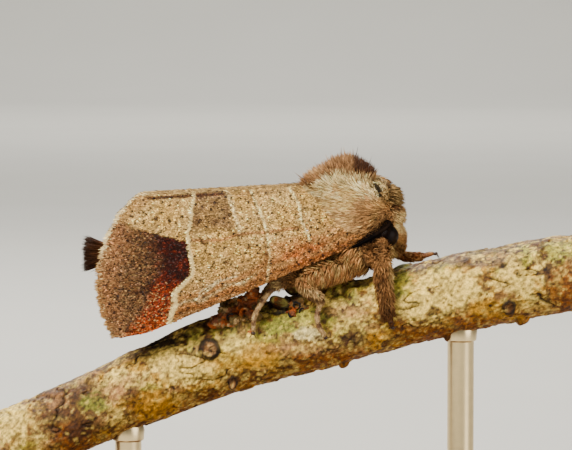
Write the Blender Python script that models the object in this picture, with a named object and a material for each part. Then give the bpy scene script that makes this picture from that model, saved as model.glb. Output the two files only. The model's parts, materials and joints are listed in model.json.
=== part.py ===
"""A chocolate-tip moth at rest on a cut twig, life size, with the twig on a plain display stand.

Metres, +Z up. The moth faces +X, so its right side is towards -Y. The origin is the middle of the
stand's underside. Places are written in millimetres and turned into metres by the MM factor.
"""

import math
import random

import bmesh
import bpy
import numpy as np
from mathutils import Vector
from mathutils.bvhtree import BVHTree

MM = 0.001
GAP = 0.3 * MM
# Corners nearer than this, which Booleans leave, are made one.
SLIVER = 0.001 * MM
SEED = 13

# Stand: a wooden block with two brass rods up to the twig.
BASE_LENGTH = 44.0 * MM
BASE_WIDTH = 25.0 * MM
BASE_THICK = 4.0 * MM
BASE_ROUND = 0.6 * MM
ROD_RADIUS = 0.8 * MM
ROD_PLACES = {"stand_rod_rear": -9.5 * MM, "stand_rod_front": 10.5 * MM}
ROD_SIDES = 16

# Twig: centre line as (x, z) and radius, sawn square at both ends.
TWIG_LINE = (
    (-18.6, 9.3, 2.30),
    (-10.6, 12.9, 2.32),
    (-5.2, 15.2, 2.48),
    (-1.5, 16.35, 2.45),
    (2.9, 17.45, 2.36),
    (10.0, 19.3, 2.36),
    (18.6, 20.9, 2.25),
)
TWIG_SIDES = 16
TWIG_RINGS = 21
BARK_BUMP = 0.07
# The turns of the bark's two waves for each ring and each side.
BARK_WAVES = ((2.3, 1.7), (1.1, -2.9))
# Knots: x, angle up from the right side, size and height.
KNOTS = (
    (-4.6, 17, 0.55, 0.28),
    (-3.2, -45, 0.3, 0.18),
    (-3.5, 66, 0.8, 0.45),
    (-2.6, 74, 0.75, 0.6),
    (-3.0, 48, 0.5, 0.3),
    (3.5, -85, 0.35, 0.3),
    (9.8, -80, 0.35, 0.35),
    (14.2, -75, 0.45, 0.35),
    (-11.5, 60, 0.6, 0.25),
    (7.0, 110, 0.7, 0.3),
)
# The bud's axis as x, y, z and radius, and its lobes as angle, height and size.
BUD = (
    (-0.1, -0.9, 18.7, 0.55),
    (0.0, -0.95, 19.2, 0.5),
    (0.1, -0.95, 19.6, 0.35),
)
BUD_LOBES = ((0, 0.95, 0.3), (75, 0.6, 0.28), (150, 0.8, 0.3), (225, 0.7, 0.28), (300, 0.85, 0.3))
BUD_SPREAD = 0.3
BUD_FLARE = 0.33
LOBE_BEND = 0.6

# Trunk of the moth under its hair: x, middle height, half width, reach up, reach down.
THORAX = (
    (0.5, 23.4, 0.9, 1.0, 0.8),
    (1.2, 23.5, 1.6, 2.1, 1.5),
    (2.4, 23.7, 2.15, 2.8, 2.3),
    (3.6, 23.8, 2.35, 3.1, 2.7),
    (4.7, 23.9, 2.2, 2.7, 2.5),
    (5.5, 24.2, 1.7, 1.6, 1.9),
    (6.1, 24.6, 1.0, 0.7, 0.6),
)
ABDOMEN = (
    (0.1, 23.1, 0.85, 1.0),
    (-1.2, 22.9, 1.10, 1.30),
    (-4.0, 22.6, 1.15, 1.40),
    (-7.0, 22.3, 1.10, 1.30),
    (-9.6, 22.0, 0.90, 1.00),
    (-10.6, 21.9, 0.60, 0.70),
)
ABDOMEN_SEGMENTS = 7
SEGMENT_DIP = 0.07

# Head: middle, half sizes, and the eyes set into its sides.
HEAD_MIDDLE = (6.05, 0.0, 23.05)
HEAD_HALF = (0.85, 1.05, 1.15)
EYE_MIDDLE = (6.05, 1.08, 22.95)
EYE_RADIUS = 0.7

# Wing roof: the line of the ridge and that of the front edge, as height at x 0 and slope.
# Each side of the roof curls out from the ridge, and ROUNDING under 1 makes its top rounder.
RIDGE = (25.97, 0.055)
COSTA = (20.78, 0.4185)
RIDGE_HALF = 0.16
WING_THICK = 0.5
WING_WIDTH = ((-12.0, 3.1), (-7.0, 3.45), (-2.0, 3.45), (0.5, 3.1), (2.5, 2.5), (4.9, 1.9))
ROLL = math.radians(100.0)
ROUNDING = 0.75

# Forewing in the side view: where its hind edge and front edge begin and end along x.
FORE_HIND_EDGE = (1.9, -8.6)
FORE_FRONT_EDGE = (4.9, -9.7)
TERMEN_BULGE = 2.0
TERMEN_ROUND = 0.65
FORE_COLUMNS = 9
# Each vein as its share of the way from hind edge to front edge, and where along the wing it begins.
FORE_VEINS = (
    (0.09, 0.0),
    (0.22, 0.35),
    (0.34, 0.0),
    (0.45, 0.5),
    (0.56, 0.5),
    (0.67, 0.5),
    (0.76, 0.0),
    (0.86, 0.4),
    (0.95, 0.0),
)
VEIN_HALF = 0.013
VEIN_HEIGHT = 0.13
VEIN_FADE = 0.12
SCALLOP = 0.14

HIND_START = (1.6, 0.32)
HIND_END = (-6.4, 0.88)
HIND_DEPTH = 0.85
HIND_BULGE = 1.4
HIND_ROUND = 0.8
HIND_COLUMNS = 6
HIND_VEINS = ((0.3, 0.0), (0.55, 0.3), (0.8, 0.0))

ANTENNA = (
    (6.2, 0.5, 23.9, 0.25),
    (6.25, 1.3, 24.2, 0.27),
    (5.85, 2.05, 23.6, 0.29),
    (5.15, 2.5, 22.85, 0.3),
    (4.4, 2.7, 22.3, 0.28),
    (3.5, 2.75, 21.85, 0.24),
    (2.6, 2.8, 21.55, 0.18),
    (1.7, 3.0, 21.2, 0.1),
)
ANTENNA_RINGS = 21
ANTENNA_DIP = 0.25

# Each leg of the left side, from root to foot: x, y, z, radius without hair.
LEGS = {
    "midleg": (
        (4.2, 1.3, 21.3, 0.45),
        (3.0, 2.0, 20.95, 0.5),
        (1.6, 2.6, 20.55, 0.48),
        (0.95, 2.85, 20.25, 0.4),
        (1.4, 2.95, 19.75, 0.38),
        (2.05, 2.9, 19.3, 0.28),
        (1.85, 2.85, 18.4, 0.25),
        (1.95, 2.85, 17.7, 0.25),
        (2.3, 2.8, 17.1, 0.22),
    ),
    "hindleg": (
        (2.3, 0.9, 21.0, 0.36),
        (1.1, 1.6, 20.55, 0.38),
        (0.0, 2.15, 20.4, 0.32),
        (-0.7, 2.45, 20.0, 0.27),
        (-1.35, 2.6, 19.2, 0.25),
        (-1.85, 2.75, 18.3, 0.25),
        (-1.95, 2.8, 17.4, 0.22),
    ),
    "foreleg": (
        (5.2, 1.1, 21.9, 0.4),
        (5.6, 2.0, 21.9, 0.45),
        (5.75, 2.75, 21.2, 0.48),
        (5.8, 3.0, 20.2, 0.45),
        (5.95, 3.0, 19.2, 0.38),
        (6.1, 2.95, 18.3, 0.28),
        (6.3, 2.85, 17.7, 0.24),
    ),
}
FAR_FORELEG = (
    (5.4, 0.9, 21.9, 0.38),
    (6.3, 1.5, 21.9, 0.36),
    (7.1, 1.4, 21.55, 0.34),
    (7.9, 1.15, 21.5, 0.3),
    (8.9, 0.95, 21.75, 0.22),
)

# Hair in locks: share of the full width and thickness at each ring from the sunk root on.
LOCK_WIDTHS = (0.8, 1.0, 0.7)
LOCK_THICKS = (0.9, 1.0, 0.75)
LOCK_THICK = 0.52
LOCK_WIDTH = 0.95
LOCK_SINK = 0.5
LOCK_BEND = 0.7
# How much the size of a lock varies about its full size.
SIZE_RANGE = (0.85, 1.1)
# A lock with more rise than this isn't combed along the surface but grows straight out.
STANDS_OUT = 5.0
# A place counts as inside a surface if the nearest face looks away from it by this cosine.
INSIDE = 0.7
# Tries to keep a lock clear of what is near: how much higher its tip is, and its length.
LOCK_TRIES = ((0.0, 1.0), (0.3, 1.0), (0.6, 1.0), (0.9, 1.0), (0.3, 0.7), (0.7, 0.7), (0.3, 0.5))
# The trunk's coat: lie, run and rise on the crest, the flanks and the chest.
COAT_X = (6.1, 1.7)
COAT_RINGS = 8
COAT_SPACING = 0.88
COAT_GIRTH = 7.2
COAT_JITTER = 0.15
COAT_LIES = ((-1.0, 0.0, 0.3), (-1.0, 0.0, -0.3), (-0.5, 0.0, -0.8))
COAT_RUNS = (1.0, 2.0, 1.1)
COAT_RISES = (1.1, 0.5, 0.5)
CREST_TURN = 1.5
# The collar hangs forward over the head, from one angle on the trunk to another.
COLLAR_SPAN = (12.0, 168.0)
COLLAR_COUNT = 8
COLLAR_WAY = (0.9, 0.0, -0.35)
COLLAR_LENGTH = 0.75
FACE_ROWS = ((54, 3), (25, 4), (-5, 3), (-37, 3))
FACE_STEP = 33.0
FACE_RUN = 0.6
FACE_RISE = 0.3
VERTEX_RISE = 0.1
FACE_WIDTH = 0.7
PALP_ROOT = (6.65, 0.3, 22.4)
PALP_WAY = (0.8, 0.0, -0.45)
PALP_LENGTH = 0.7
PALP_WIDTH = 0.5
LEG_SPANS = {"foreleg": (0.24, 0.7), "midleg": (0.15, 0.56), "hindleg": (0.15, 0.42)}
LEG_LOCK_RINGS = {"foreleg": 4, "midleg": 3, "hindleg": 2}
LEG_LOCKS_AROUND = 3
LEG_LOCK_RUN = 1.4
LEG_LOCK_RISE = 0.2
LEG_LOCK_WIDTH = 0.62
TUFT_MIDDLE = (-11.4, 0.0, 21.87)
TUFT_HALF = (0.35, 0.4, 0.42)
TUFT_LENGTH = 0.72
TUFT_WIDTH = 0.55
TUFT_YAWS = (-26, 0, 26)
TUFT_PITCHES = (-42, -14, 14, 42)
TUFT_JITTER = 4.0

COLOURS = {
    "coat": (0.46, 0.34, 0.24),
    "wing": (0.52, 0.42, 0.30),
    "hindwing": (0.36, 0.29, 0.22),
    "eye": (0.02, 0.015, 0.015),
    "antenna": (0.10, 0.06, 0.045),
    "tuft": (0.12, 0.06, 0.04),
    "bark": (0.55, 0.48, 0.30),
    "bud": (0.16, 0.11, 0.07),
    "wood": (0.30, 0.19, 0.11),
    "brass": (0.78, 0.60, 0.32),
}
ROUGHNESS = {"eye": 0.15, "brass": 0.25, "wood": 0.45}


def clear_scene():
    for obj in list(bpy.data.objects):
        bpy.data.objects.remove(obj)


def material(slot):
    made = bpy.data.materials.get(slot)
    if made:
        return made
    made = bpy.data.materials.new(slot)
    made.use_nodes = True
    shader = made.node_tree.nodes["Principled BSDF"]
    shader.inputs["Base Color"].default_value = (*COLOURS[slot], 1.0)
    shader.inputs["Roughness"].default_value = ROUGHNESS.get(slot, 0.8)
    shader.inputs["Metallic"].default_value = 1.0 if slot == "brass" else 0.0
    return made


def smooth_rows(rows, count):
    """Rows of numbers at even steps along a smooth curve through the rows given."""
    rows = np.array(rows, float)
    padded = np.vstack([2 * rows[0] - rows[1], rows, 2 * rows[-1] - rows[-2]])
    found = []
    for place in np.linspace(0, len(rows) - 1, count):
        i = min(int(place), len(rows) - 2)
        f = place - i
        a, b, c, d = padded[i : i + 4]
        bend = (2 * a - 5 * b + 4 * c - d) * f * f + (3 * b - a - 3 * c + d) * f**3
        found.append(0.5 * (2 * b + (c - a) * f + bend))
    return np.array(found)


def add_object(name, bm, slot, smooth=True):
    bmesh.ops.recalc_face_normals(bm, faces=bm.faces[:])
    mesh = bpy.data.meshes.new(name)
    bm.to_mesh(mesh)
    bm.free()
    mesh.materials.append(material(slot))
    if smooth:
        mesh.shade_smooth()
    obj = bpy.data.objects.new(name, mesh)
    bpy.context.scene.collection.objects.link(obj)
    return obj


def skin_rings(name, rings, slot, tips=(None, None)):
    """A closed body through rings of points in millimetres, with a flat or a pointed end."""
    bm = bmesh.new()
    loops = [[bm.verts.new(Vector(p) * MM) for p in ring] for ring in rings]
    for one, other in zip(loops, loops[1:]):
        for i, vert in enumerate(one):
            j = (i + 1) % len(one)
            bm.faces.new((vert, one[j], other[j], other[i]))
    for loop, tip in ((loops[0], tips[0]), (loops[-1], tips[1])):
        if tip is None:
            bm.faces.new(loop)
            continue
        end = bm.verts.new(Vector(tip) * MM)
        for i, vert in enumerate(loop):
            bm.faces.new((vert, loop[(i + 1) % len(loop)], end))
    bmesh.ops.triangulate(bm, faces=bm.faces[:])
    return add_object(name, bm, slot)


def path_frames(points):
    """For each point of a path: its direction, a side vector and a third, square to both."""
    points = np.array(points, float)
    ahead = np.gradient(points, axis=0)
    ahead /= np.linalg.norm(ahead, axis=1)[:, None]
    side = np.cross(ahead[0], (0.0, 0.0, 1.0))
    if np.linalg.norm(side) < 0.2:
        side = np.cross(ahead[0], (1.0, 0.0, 0.0))
    frames = []
    for direction in ahead:
        side = side - direction * (side @ direction)
        side /= np.linalg.norm(side)
        frames.append((direction, side, np.cross(direction, side)))
    return frames


def tube_rings(points, radii, sides):
    """Round rings along a path, in millimetres."""
    turns = np.linspace(0, 2 * math.pi, sides, endpoint=False)
    rings = []
    for point, radius, (_, side, third) in zip(points, radii, path_frames(points)):
        rings.append(
            [
                point + radius * (math.cos(a) * side + math.sin(a) * third)
                for a in turns
            ]
        )
    return rings


def limb(name, stations, slot, sides=8, rings=14, blunt=0.7):
    """A round limb through (x, y, z, radius) stations, with domed ends."""
    rows = smooth_rows(stations, rings)
    points, radii = rows[:, :3], np.maximum(rows[:, 3], 0.08)
    frames = path_frames(points)
    first = points[0] - frames[0][0] * radii[0] * blunt
    last = points[-1] + frames[-1][0] * radii[-1] * blunt
    return skin_rings(name, tube_rings(points, radii, sides), slot, (first, last))


def mirrored(stations, side):
    """Stations given for the left side, +Y, turned to the side asked for, +1 or -1."""
    return [(s[0], side * s[1], *s[2:]) for s in stations]


def sorted_mesh(mesh):
    """A mesh with its corners and faces in order of place, so that each run gives the same one."""
    corners = [tuple(v.co) for v in mesh.vertices]
    order = sorted(range(len(corners)), key=corners.__getitem__)
    places = {old: new for new, old in enumerate(order)}
    loops = []
    for polygon in mesh.polygons:
        loop = [places[i] for i in polygon.vertices]
        first = loop.index(min(loop))
        loops.append(loop[first:] + loop[:first])
    bm = bmesh.new()
    verts = [bm.verts.new(corners[i]) for i in order]
    for loop in sorted(loops):
        bm.faces.new([verts[i] for i in loop])
    bm.faces.index_update()
    return bm


def bake(obj):
    """Applies the modifiers of an object and keeps its largest closed surface."""
    graph = bpy.context.evaluated_depsgraph_get()
    mesh = bpy.data.meshes.new_from_object(obj.evaluated_get(graph))
    obj.modifiers.clear()
    obj.data = mesh
    bm = sorted_mesh(mesh)
    bmesh.ops.triangulate(bm, faces=bm.faces[:])
    bmesh.ops.remove_doubles(bm, verts=bm.verts[:], dist=SLIVER)
    left, pieces = set(bm.faces), []
    while left:
        stack = [left.pop()]
        piece = set(stack)
        while stack:
            for edge in stack.pop().edges:
                near = [f for f in edge.link_faces if f in left and edge.is_manifold]
                left.difference_update(near)
                piece.update(near)
                stack.extend(near)
        pieces.append(piece)
    pieces.sort(key=surface_volume, reverse=True)
    scraps = [f for piece in pieces[1:] for f in piece]
    bmesh.ops.delete(bm, geom=scraps, context="FACES")
    bm.to_mesh(mesh)
    bm.free()
    bm = sorted_mesh(mesh)
    bm.to_mesh(mesh)
    bm.free()
    mesh.shade_smooth()


def surface_volume(faces):
    """The volume inside closed triangles, from the origin."""
    total = 0.0
    for face in faces:
        a, b, c = (v.co for v in face.verts)
        total += a.dot(b.cross(c)) / 6
    return total


def cut(obj, *cutters):
    """Takes the cutters out of an object, which then keeps its largest piece."""
    for cutter in cutters:
        step = obj.modifiers.new("cut", "BOOLEAN")
        step.operation = "DIFFERENCE"
        step.solver = "EXACT"
        step.object = cutter
    bake(obj)


def remove(*objs):
    for obj in objs:
        bpy.data.objects.remove(obj)


def fuse(core, pieces):
    """Joins pieces to their core, as one closed body."""
    group = bpy.data.collections.new("pieces")
    for piece in pieces:
        group.objects.link(piece)
    step = core.modifiers.new("join", "BOOLEAN")
    step.operation = "UNION"
    step.solver = "MANIFOLD"
    step.operand_type = "COLLECTION"
    step.collection = group
    bake(core)
    remove(*pieces)
    bpy.data.collections.remove(group)


# Hair in locks.


def is_clear(corners, trees):
    """Whether points keep the gap to every surface and lie outside it."""
    for corner in corners:
        for tree in trees:
            near, normal, _, distance = tree.find_nearest(corner)
            is_inside = (corner - near).dot(normal) < -INSIDE * distance
            if distance < GAP / MM or is_inside:
                return False
    return True


def surface(obj):
    """A search tree, in millimetres, of the surface of an object."""
    corners = [v.co / MM for v in obj.data.vertices]
    return BVHTree.FromPolygons(corners, [tuple(p.vertices) for p in obj.data.polygons])


def combed(tree, root, lie, run, rise):
    """The line of a lock that follows a surface from its sunk root, and rises from it to its tip."""
    near, out, _, _ = tree.find_nearest(root)
    points = [near - out * LOCK_SINK]
    count = len(LOCK_WIDTHS)
    for k in range(1, count + 1):
        along = (lie - out * lie.dot(out)).normalized()
        near, out, _, _ = tree.find_nearest(near + along * run / count)
        points.append(near + out * rise * (k / count) ** LOCK_BEND)
    return points


def straight(root, way, length):
    """The line of a lock that grows straight out, from its sunk root."""
    whole = length + LOCK_SINK
    count = len(LOCK_WIDTHS)
    return [root + way * (whole * k / count - LOCK_SINK) for k in range(count + 1)]


def lock(points, face, width, slot):
    """A flat lock along a line, its broad sides towards the direction given and away from it."""
    rings = []
    for k, (wide, thick) in enumerate(zip(LOCK_WIDTHS, LOCK_THICKS)):
        ahead = (points[k + 1] - points[max(k - 1, 0)]).normalized()
        side = ahead.cross(face).normalized() * (wide * width / 2)
        up = side.cross(ahead).normalized() * (thick * LOCK_THICK)
        middle = points[k]
        rings.append((middle + side - up / 3, middle + up * 2 / 3, middle - side - up / 3))
    return rings


def coat(core, roots):
    """Grows locks on a core, each raised, then made shorter, until it is clear of other nodes."""
    own = surface(core)
    others = [surface(obj) for obj in bpy.data.objects if obj is not core]
    slot = core.data.materials[0].name
    locks = []
    for root, lie, face, run, rise, width in roots:
        for lift, share in LOCK_TRIES:
            points = combed(own, root, lie, run * share, rise + lift)
            if rise > STANDS_OUT:
                points = straight(root, lie, run * share)
            rings = lock(points, face, width, slot)
            if is_clear([c for ring in rings[1:] for c in ring] + points[-1:], others):
                locks.append(skin_rings("lock", rings, slot, (None, points[-1])))
                break
    if locks:
        fuse(core, locks)


# The wing roof.


def ridge_z(x):
    return RIDGE[0] + RIDGE[1] * x


def costa_z(x):
    return COSTA[0] + COSTA[1] * x


def roof_y(x, z):
    """How far out the roof of the wings lies at a place in the side view, in millimetres."""
    share = (ridge_z(x) - z) / (ridge_z(x) - costa_z(x))
    widths = np.array(WING_WIDTH)
    width = np.interp(x, widths[:, 0], widths[:, 1])
    turn = ROLL * min(max(share, 0.0), 1.1) ** ROUNDING
    return RIDGE_HALF + (width - RIDGE_HALF) * math.sin(turn) / math.sin(ROLL)


def roof_point(x, z, depth, side):
    """A point that far under the roof's outer face, on the side asked for."""
    step = 0.1
    along = (roof_y(x + step, z) - roof_y(x - step, z)) / (2 * step)
    down = (roof_y(x, z + step) - roof_y(x, z - step)) / (2 * step)
    normal = Vector((-along, 1.0, -down)).normalized()
    point = Vector((x, roof_y(x, z), z)) - normal * depth
    return Vector((point.x, side * max(point.y, RIDGE_HALF), point.z))


def forewing_place(u, v):
    """The side view of a forewing: u from root to outer edge, v from hind edge to front edge."""
    hind_x = FORE_HIND_EDGE[0] + (FORE_HIND_EDGE[1] - FORE_HIND_EDGE[0]) * u
    front_x = FORE_FRONT_EDGE[0] + (FORE_FRONT_EDGE[1] - FORE_FRONT_EDGE[0]) * u
    x = hind_x + (front_x - hind_x) * v
    z = ridge_z(hind_x) + (costa_z(front_x) - ridge_z(hind_x)) * v
    return x - TERMEN_BULGE * math.sin(math.pi * v) ** TERMEN_ROUND * u**4, z


def hindwing_place(u, v):
    """The side view of a hindwing, a fan folded under the forewing."""
    share = HIND_START[1] + (HIND_END[1] - HIND_START[1]) * v
    x = HIND_START[0] + (HIND_END[0] - HIND_START[0]) * u
    x -= HIND_BULGE * math.sin(math.pi * v) ** HIND_ROUND * u**3
    return x, ridge_z(x) + (costa_z(x) - ridge_z(x)) * share


def wing_rows(veins):
    """The rows of a wing's grid: the share of the way across, and the vein there, if any."""
    rows = [(0.0, None)]
    edge = 0.0
    for share, begins in veins:
        rows.append(((edge + share - VEIN_HALF) / 2, None))
        rows.append((share - VEIN_HALF, None))
        rows.append((share, begins))
        rows.append((share + VEIN_HALF, None))
        edge = share + VEIN_HALF
    rows.append((1.0, None))
    return rows


def vein_lift(u, begins):
    if begins is None:
        return 0.0
    grown = 1.0 if begins == 0.0 else min(max((u - begins) / VEIN_FADE, 0.0), 1.0)
    return VEIN_HEIGHT * grown


def wing(name, place, columns, veins, depth, side, slot):
    """A wing as a thick curved sheet, with its veins raised in the outer face."""
    rows = wing_rows(veins)
    outer, inner = [], []
    for i in range(columns + 1):
        u = i / columns
        outer_line, inner_line = [], []
        for v, begins in rows:
            x, z = place(u, v)
            if i == columns and begins is not None:
                x += SCALLOP
            lift = vein_lift(u, begins)
            outer_line.append(roof_point(x, z, depth - lift, side) * MM)
            inner_line.append(roof_point(x, z, depth + WING_THICK, side) * MM)
        outer.append(outer_line)
        inner.append(inner_line)
    return sheet(name, outer, inner, slot)


def sheet(name, outer, inner, slot):
    """A closed solid between two grids of points, split into triangles alike on both faces."""
    bm = bmesh.new()
    top = [[bm.verts.new(p) for p in line] for line in outer]
    low = [[bm.verts.new(p) for p in line] for line in inner]
    for grid in (top, low):
        for one, other in zip(grid, grid[1:]):
            for j in range(len(one) - 1):
                bm.faces.new((one[j], other[j], other[j + 1]))
                bm.faces.new((one[j], other[j + 1], one[j + 1]))
    borders = (
        (top[0], low[0]),
        (top[-1], low[-1]),
        ([line[0] for line in top], [line[0] for line in low]),
        ([line[-1] for line in top], [line[-1] for line in low]),
    )
    for upper, lower in borders:
        for j in range(len(upper) - 1):
            bm.faces.new((upper[j], upper[j + 1], lower[j + 1]))
            bm.faces.new((upper[j], lower[j + 1], lower[j]))
    return add_object(name, bm, slot)


# The body.


def oval_rings(stations, count, sides, grow):
    """Oval rings across X through (x, z, half width, up, down) stations."""
    turns = np.linspace(0, 2 * math.pi, sides, endpoint=False)
    rings = []
    for x, z, width, up, down in smooth_rows(stations, count):
        ring = []
        for a in turns:
            reach = up if math.sin(a) > 0 else down
            ring.append(
                (
                    x,
                    math.cos(a) * (width + grow),
                    z + math.sin(a) * (reach + grow),
                )
            )
        rings.append(ring)
    return rings


def oval_body(name, stations, count, sides, slot, grow=0.0):
    rings = oval_rings(stations, count, sides, grow)
    ends = []
    for place, ring in ((0, rings[0]), (-1, rings[-1])):
        x, z, width, up, down = stations[place]
        outwards = x - stations[1 if place == 0 else -2][0]
        reach = 0.35 * width + grow
        ends.append((x + math.copysign(reach, outwards), 0.0, z))
    return skin_rings(name, rings, slot, ends)


def thorax(grow=0.0, name="thorax"):
    return oval_body(name, THORAX, 13, 20, "coat", grow)


def abdomen(grow=0.0, name="abdomen"):
    """The abdomen, with a dip between its rings."""
    stations = [(x, z, width, half, half) for x, z, width, half in ABDOMEN]
    rows = smooth_rows(stations, 2 * ABDOMEN_SEGMENTS + 1)
    for i in range(2, len(rows) - 1, 2):
        rows[i, 2:] -= SEGMENT_DIP
    return oval_body(name, [tuple(r) for r in rows], len(rows), 12, "coat", grow)


def ball(name, middle, half, slot, grow=0.0, columns=18, rows=12):
    bm = bmesh.new()
    bmesh.ops.create_uvsphere(bm, u_segments=columns, v_segments=rows, radius=1.0)
    for vert in bm.verts:
        for axis in range(3):
            vert.co[axis] = (vert.co[axis] * (half[axis] + grow) + middle[axis]) * MM
    return add_object(name, bm, slot)


def eye(side, grow=0.0, name=None):
    name = name or ("eye_left" if side > 0 else "eye_right")
    middle = (EYE_MIDDLE[0], side * EYE_MIDDLE[1], EYE_MIDDLE[2])
    return ball(name, middle, (EYE_RADIUS,) * 3, "eye", grow, 12, 8)


def head():
    """The head, with room for the eyes."""
    made = ball("head", HEAD_MIDDLE, HEAD_HALF, "coat", 0.0, 14, 9)
    rooms = [eye(side, GAP / MM, "eye_room") for side in (1, -1)]
    cut(made, *rooms)
    remove(*rooms)
    return made


def antenna(side, grow=0.0):
    """A comb-like antenna, folded back under the wing, with a ridge for each pair of its teeth."""
    rows = smooth_rows(mirrored(ANTENNA, side), ANTENNA_RINGS)
    rows[1::2, 3] *= 1.0 - ANTENNA_DIP
    name = "antenna_left" if side > 0 else "antenna_right"
    return limb(name, rows, "antenna", 8, ANTENNA_RINGS)


def legs():
    """The six legs without their hair, and the stations of each."""
    made = []
    for kind, stations in LEGS.items():
        for side, word in ((1, "left"), (-1, "right")):
            used = FAR_FORELEG if kind == "foreleg" and side > 0 else stations
            used = mirrored(used, side)
            made.append((limb(f"{kind}_{word}", used, "coat"), used))
    return made


def tuft_core():
    return ball("abdomen_tuft", TUFT_MIDDLE, TUFT_HALF, "tuft", 0.0, 12, 8)


# Where the hair grows. Each lock has a root, its lie, the way that its broad side faces, how far it
# runs along the surface, how high its tip rises from it, and its width.


def thorax_place(x, angle):
    """A point on the trunk, at an angle up from its left side."""
    rows = smooth_rows(THORAX, 40)
    z, width, up, down = (np.interp(x, rows[:, 0], rows[:, i]) for i in range(1, 5))
    reach = up if math.sin(angle) > 0 else down
    return Vector((x, math.cos(angle) * width, z + math.sin(angle) * reach))


def thorax_roots(draw):
    """Rings of locks: the upright crest, the flanks combed back and the chest combed down."""
    roots = []
    for k, x in enumerate(np.linspace(*COAT_X, COAT_RINGS)):
        half = (thorax_place(x, 0.0) - thorax_place(x, math.pi)).length / 2
        count = max(8, round(COAT_GIRTH * half / COAT_SPACING))
        for i in range(count):
            shift = draw.uniform(-COAT_JITTER, COAT_JITTER)
            angle = 2 * math.pi * (i + 0.5 * (k % 2) + shift) / count
            high = max(math.sin(angle), 0.0) ** 2
            low = max(-math.sin(angle), 0.0) ** 2
            parts = (high, 1 - high - low, low)
            lie = sum((Vector(way) * part for way, part in zip(COAT_LIES, parts)), Vector())
            across = math.cos(angle)
            face = Vector((0.0, across + math.copysign(CREST_TURN * high, across), math.sin(angle)))
            run = np.dot(parts, COAT_RUNS) * draw.uniform(*SIZE_RANGE)
            rise = np.dot(parts, COAT_RISES) * draw.uniform(*SIZE_RANGE)
            place = thorax_place(x + draw.uniform(-COAT_JITTER, COAT_JITTER), angle)
            roots.append((place, lie, face, run, rise, LOCK_WIDTH))
    return roots


def collar_roots(draw):
    """The collar, a row of locks at the front of the trunk."""
    way = Vector(COLLAR_WAY).normalized()
    roots = []
    for angle in np.radians(np.linspace(*COLLAR_SPAN, COLLAR_COUNT)):
        face = Vector((0.0, math.cos(angle), math.sin(angle)))
        length = COLLAR_LENGTH * draw.uniform(*SIZE_RANGE)
        place = thorax_place(COAT_X[0], angle)
        roots.append((place, way, face, length, STANDS_OUT + 1, LOCK_WIDTH))
    return roots


def head_roots(draw):
    """The pale tuft of the face, and the two palps under it."""
    middle, half = Vector(HEAD_MIDDLE), Vector(HEAD_HALF)
    roots = []
    for elevation, count in FACE_ROWS:
        for i in range(count):
            e = math.radians(elevation)
            shift = draw.uniform(-COAT_JITTER, COAT_JITTER)
            turn = math.radians(FACE_STEP) * (i + shift - (count - 1) / 2)
            way = Vector((math.cos(e) * math.cos(turn), math.cos(e) * math.sin(turn), math.sin(e)))
            lie = Vector((0.2, 0.3 * math.sin(turn), -1.0))
            run = FACE_RUN * draw.uniform(*SIZE_RANGE)
            rise = FACE_RISE + VERTEX_RISE * max(math.sin(e), 0.0)
            roots.append((middle + way * half, lie, way, run, rise, FACE_WIDTH))
    for side in (1, -1):
        place = Vector((PALP_ROOT[0], side * PALP_ROOT[1], PALP_ROOT[2]))
        way = Vector(PALP_WAY).normalized()
        roots.append((place, way, Vector((0, side, 0)), PALP_LENGTH, STANDS_OUT + 1, PALP_WIDTH))
    return roots


def leg_roots(stations, kind, draw):
    """Locks down the thick part of a leg, in turns round it."""
    rows = smooth_rows(stations, 40)
    frames = path_frames(rows[:, :3])
    roots = []
    for k, share in enumerate(np.linspace(*LEG_SPANS[kind], LEG_LOCK_RINGS[kind])):
        i = round(share * 39)
        ahead, side, third = (Vector(v) for v in frames[i])
        for j in range(LEG_LOCKS_AROUND):
            shift = draw.uniform(-COAT_JITTER, COAT_JITTER)
            angle = 2 * math.pi * (j + 0.5 * (k % 2) + shift) / LEG_LOCKS_AROUND
            out = side * math.cos(angle) + third * math.sin(angle)
            run = LEG_LOCK_RUN * draw.uniform(*SIZE_RANGE)
            place = Vector(rows[i, :3]) + out * rows[i, 3]
            roots.append((place, ahead, out, run, LEG_LOCK_RISE, LEG_LOCK_WIDTH))
    return roots


def tuft_roots(draw):
    """The brush at the end of the abdomen, a fan that flares up and down."""
    middle, half = Vector(TUFT_MIDDLE), Vector(TUFT_HALF)
    roots = []
    for yaw in TUFT_YAWS:
        for pitch in TUFT_PITCHES:
            p = math.radians(pitch + draw.uniform(-TUFT_JITTER, TUFT_JITTER))
            w = math.radians(yaw + draw.uniform(-TUFT_JITTER, TUFT_JITTER))
            way = Vector((-math.cos(p) * math.cos(w), math.sin(w), math.sin(p)))
            face = Vector((0.0, 1.0 if yaw >= 0 else -1.0, 0.0))
            length = TUFT_LENGTH * draw.uniform(*SIZE_RANGE)
            roots.append((middle + way * half, way, face, length, STANDS_OUT + 1, TUFT_WIDTH))
    return roots


# The twig and its stand.


def twig_line(x):
    """Height and radius of the twig's middle line at a place along it."""
    rows = smooth_rows(TWIG_LINE, 60)
    return np.interp(x, rows[:, 0], rows[:, 1]), np.interp(x, rows[:, 0], rows[:, 2])


def twig(grow=0.0, name="perch_twig"):
    """The twig, with low bumps in its bark."""
    rows = smooth_rows([(x, 0.0, z, r) for x, z, r in TWIG_LINE], TWIG_RINGS)
    rings = []
    for k, ring in enumerate(tube_rings(rows[:, :3], rows[:, 3] + grow, TWIG_SIDES)):
        middle = rows[k, :3]
        bumpy = []
        for i, point in enumerate(ring):
            wave = sum(math.sin(a * k + b * i) for a, b in BARK_WAVES)
            out = (point - middle) / np.linalg.norm(point - middle)
            bumpy.append(point + out * BARK_BUMP * 0.5 * wave)
        rings.append(bumpy)
    return skin_rings(name, rings, "bark")


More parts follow.
